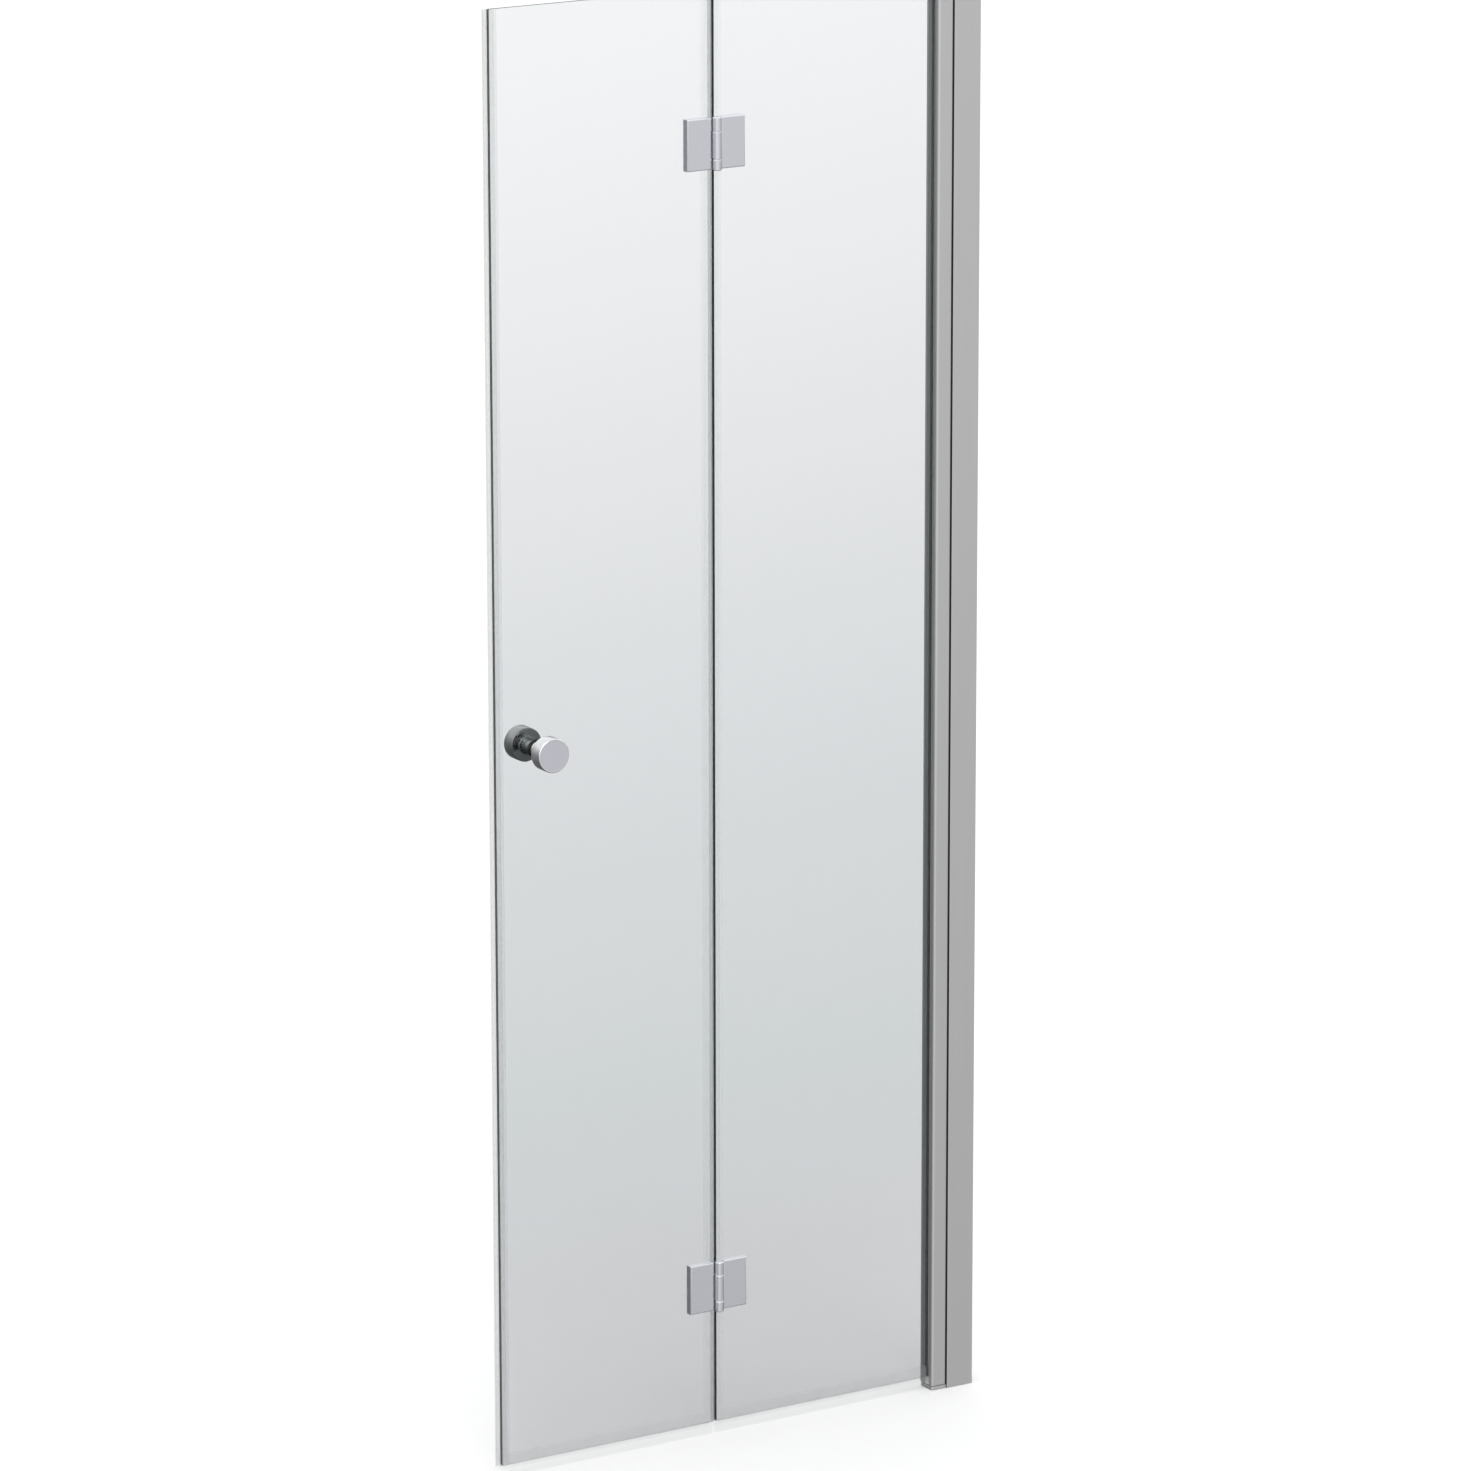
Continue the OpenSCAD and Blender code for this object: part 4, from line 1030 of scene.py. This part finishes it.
def knuckleMesh(place, low, high):
    p = hingeShape
    y, radius, chamfer, inset = p["axisY"], p["knuckleRadius"], p["knuckleChamfer"], p["webInset"]

    def onAxis(u, v, w):
        return place(u, y + v, w)
    barrel = lathed([(0, low), (radius - chamfer, low), (radius, low + chamfer),
                     (radius, high - chamfer), (radius - chamfer, high), (0, high)],
                    onAxis, p["knuckleSides"])
    web = drawn([boxLoop(0, hingeLeaf["fromFold"] + p["webReach"], p["webFront"], p["webBack"])],
                low + inset, high - inset, place)
    return joinAll(barrel, [web])


def makeHinge(level):
    p = hingeShape
    z = hingeZ[level]
    pinLow, pinHigh = corners(level + "_hinge_pin")
    top = (pinHigh.z - pinLow.z + 2 * p["pinInset"]) / 2
    splitLow, splitTop = -top + p["knuckleLow"], top - p["knuckleTop"]
    spans = {1: [(-top, splitLow), (splitTop, top)],
             -1: [(splitLow + p["gap"], splitTop - p["gap"])]}
    for side, panel in ((1, "inner"), (-1, "outer")):
        def place(u, v, w, side=side):
            return (foldX + side * u, v, z + w)
        mesh = joinAll(leafMesh(place), [knuckleMesh(place, *span) for span in spans[side]])
        for face in mesh.polygons:  # painted shade on the web in the slit between leaf and knuckle
            inSlit = abs(face.center.x / mm - foldX) < hingeLeaf["fromFold"] + hair
            if inSlit and abs(face.normal.y) > p["slitFacing"]:
                face.material_index = int(face.center.y / mm > p["webFront"] - hair)
        play = p["pinPlay"] if side < 0 else 0.0
        bore = drawn([circleLoop(0, p["axisY"], p["pinRadius"] + play, p["boreSides"])],
                     -p["boreReach"], p["boreReach"], place)
        finishPiece(level + panel.capitalize() + "Leaf", cutAll(mesh, [bore]), panel + "_panel",
                    [satinChrome, slitShadeFinish], [f"{level}_hinge_{panel}_leaf"],
                    hingeLeaf["bevel"])
        makeClamp(level, panel, place)


clampShape = {
    "inset": 8, "cornerRound": 3, "front": 4, "back": 9, "bevel": 0.5, "bevelSteps": 3, "sides": 48,
    "sinkRadius": 5.15, "sinkRim": 0.15, "sinkFoot": 2.6, "holeRadius": 2.7, "holeTo": 8,
    "screwPitch": 32, "screwRadius": 2.45, "screwTip": -11, "tipChamfer": 0.6,
    "headRadius": 4.8, "headSink": 0.1, "headEdge": 0.25, "headFoot": 2.55,
    "socketRadius": 1.75, "socketDepth": 2.0, "socketSides": 6,
}


def makeClamp(level, panel, place):  # the plate behind the glass and its two countersunk screws
    p = clampShape
    leafEnd = hingeLeaf["fromFold"] + hingeLeaf["width"]
    middle = hingeLeaf["fromFold"] + hingeLeaf["width"] / 2
    tall = hingeLeaf["height"] / 2 - p["inset"]

    def standing(u, v, w):
        return place(u, w, v)
    outline = boxLoop(hingeLeaf["fromFold"] + p["inset"], leafEnd - p["inset"], -tall, tall,
                      p["cornerRound"])
    plate = drawn([outline], p["front"], p["back"], standing)
    hole, sink, rim = p["holeRadius"], p["sinkRadius"], p["sinkRim"]
    sinkProfile = [(0, -above), (sink, -above), (sink, rim), (hole, p["sinkFoot"]),
                   (hole, p["holeTo"]), (0, p["holeTo"])]
    hexagon = circleLoop(0, 0, p["socketRadius"], p["socketSides"])
    head, seat, edge = p["headRadius"], p["headSink"], p["headEdge"]
    shank, tip, chamfer = p["screwRadius"], p["back"] - p["screwTip"], p["tipChamfer"]
    screwProfile = [(0, seat), (head - edge, seat), (head, seat + edge), (shank, p["headFoot"]),
                    (shank, tip - chamfer), (shank - chamfer, tip), (0, tip)]
    screws = None
    for s in (-1, 1):
        def onScrew(u, v, w, s=s):
            return place(middle + u, p["back"] - w, s * p["screwPitch"] / 2 + v)
        plate = cutAll(plate, [lathed(sinkProfile, onScrew, p["sides"])])
        socket = drawn([hexagon], -above, p["socketDepth"], onScrew)
        screw = cutAll(lathed(screwProfile, onScrew, p["sides"]), [socket])
        screws = screw if screws is None else joinAll(screws, [screw])
    name, body = level + panel.capitalize(), panel + "_panel"
    finishPiece(name + "Clamp", plate, body, [satinChrome],
                [f"{level}_hinge_{panel}_plate"], p["bevel"], p["bevelSteps"])
    finishPiece(name + "Screws", screws, body, [stainlessSteel],
                [f"{level}_hinge_{panel}_screws"], 0)


makeHinge("upper")
makeHinge("lower")
print("hinges fitted")


# knobs

knobShape = {
    "head": 22.5, "headFrom": 21.5, "reach": 42, "round": 1.2, "neck": 11, "neckEdge": 0.5,
    "fillet": 1.5, "washer": 1.0, "dish": 0.15, "dishSlope": 0.5, "dishRing": 0.3,
    "roundStep": 18, "filletStep": 30, "sides": 128,
}


def makeKnob(name, node, side, sideFinish):
    p = knobShape

    def place(u, v, w):
        return (knobX + u, side * (glassHalf + w), knobZ + v)
    e, head, neck, washer, f = p["round"], p["head"], p["neck"], p["washer"], p["fillet"]
    foot = [(0, washer), (neck - p["neckEdge"], washer), (neck, washer + p["neckEdge"])]
    fillet = [(neck + f - f * math.sin(a), p["headFrom"] - f + f * math.cos(a))
              for a in reversed(quarterTurn(p["filletStep"]))]
    rear = [(head - e + e * math.sin(a), p["headFrom"] + e - e * math.cos(a))
            for a in quarterTurn(p["roundStep"])]
    brow = [(head - e + e * math.cos(a), p["reach"] - e + e * math.sin(a))
            for a in quarterTurn(p["roundStep"])]
    slope, ring, floor = p["dishSlope"], p["dishSlope"] + p["dishRing"], p["reach"] - p["dish"]
    dish = [(head - e - slope, floor), (head - e - ring, floor), (0, floor)]
    bm = bmesh.new()
    turnOnLathe(bm, foot + fillet + rear + brow + dish, place, p["sides"])
    faceY = side * (glassHalf + floor)
    for face in bm.faces:
        if all(abs(v.co.y / mm - faceY) < hair for v in face.verts):
            face.material_index = 1
    finishPiece(name, asMesh(bm), "outer_panel", [sideFinish, turnedChrome],
                [node], 0)


makeKnob("outsideKnob", "outside_knob", -1, polishedChrome)
# the inside knob takes the chrome with painted shade
makeKnob("insideKnob", "inside_knob", 1, shadedInsideChrome)
print("knobs turned")


# solids kept as packed, with their own finish

keptFinishes = {
    satinAluminium: ["adjusting_profile"],
    stainlessSteel: ["lower_plate_screws", "upper_plate_screws", "lower_pivot_pin",
                     "upper_pivot_pin", "upper_hinge_pin", "lower_hinge_pin", "knob_stud",
                     "knob_grub_screws"],
    naturalNylon: ["lower_pivot_bush", "upper_pivot_bush", "upper_hinge_inner_pads",
                   "upper_hinge_outer_pads", "lower_hinge_inner_pads", "lower_hinge_outer_pads"],
    blackRubber: ["knob_washers"],
}
for finish, nodes in keptFinishes.items():
    for node in nodes:
        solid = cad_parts[node].data
        solid.materials.clear()
        solid.materials.append(finish)
print("kept solids finished:", sum(len(nodes) for nodes in keptFinishes.values()))
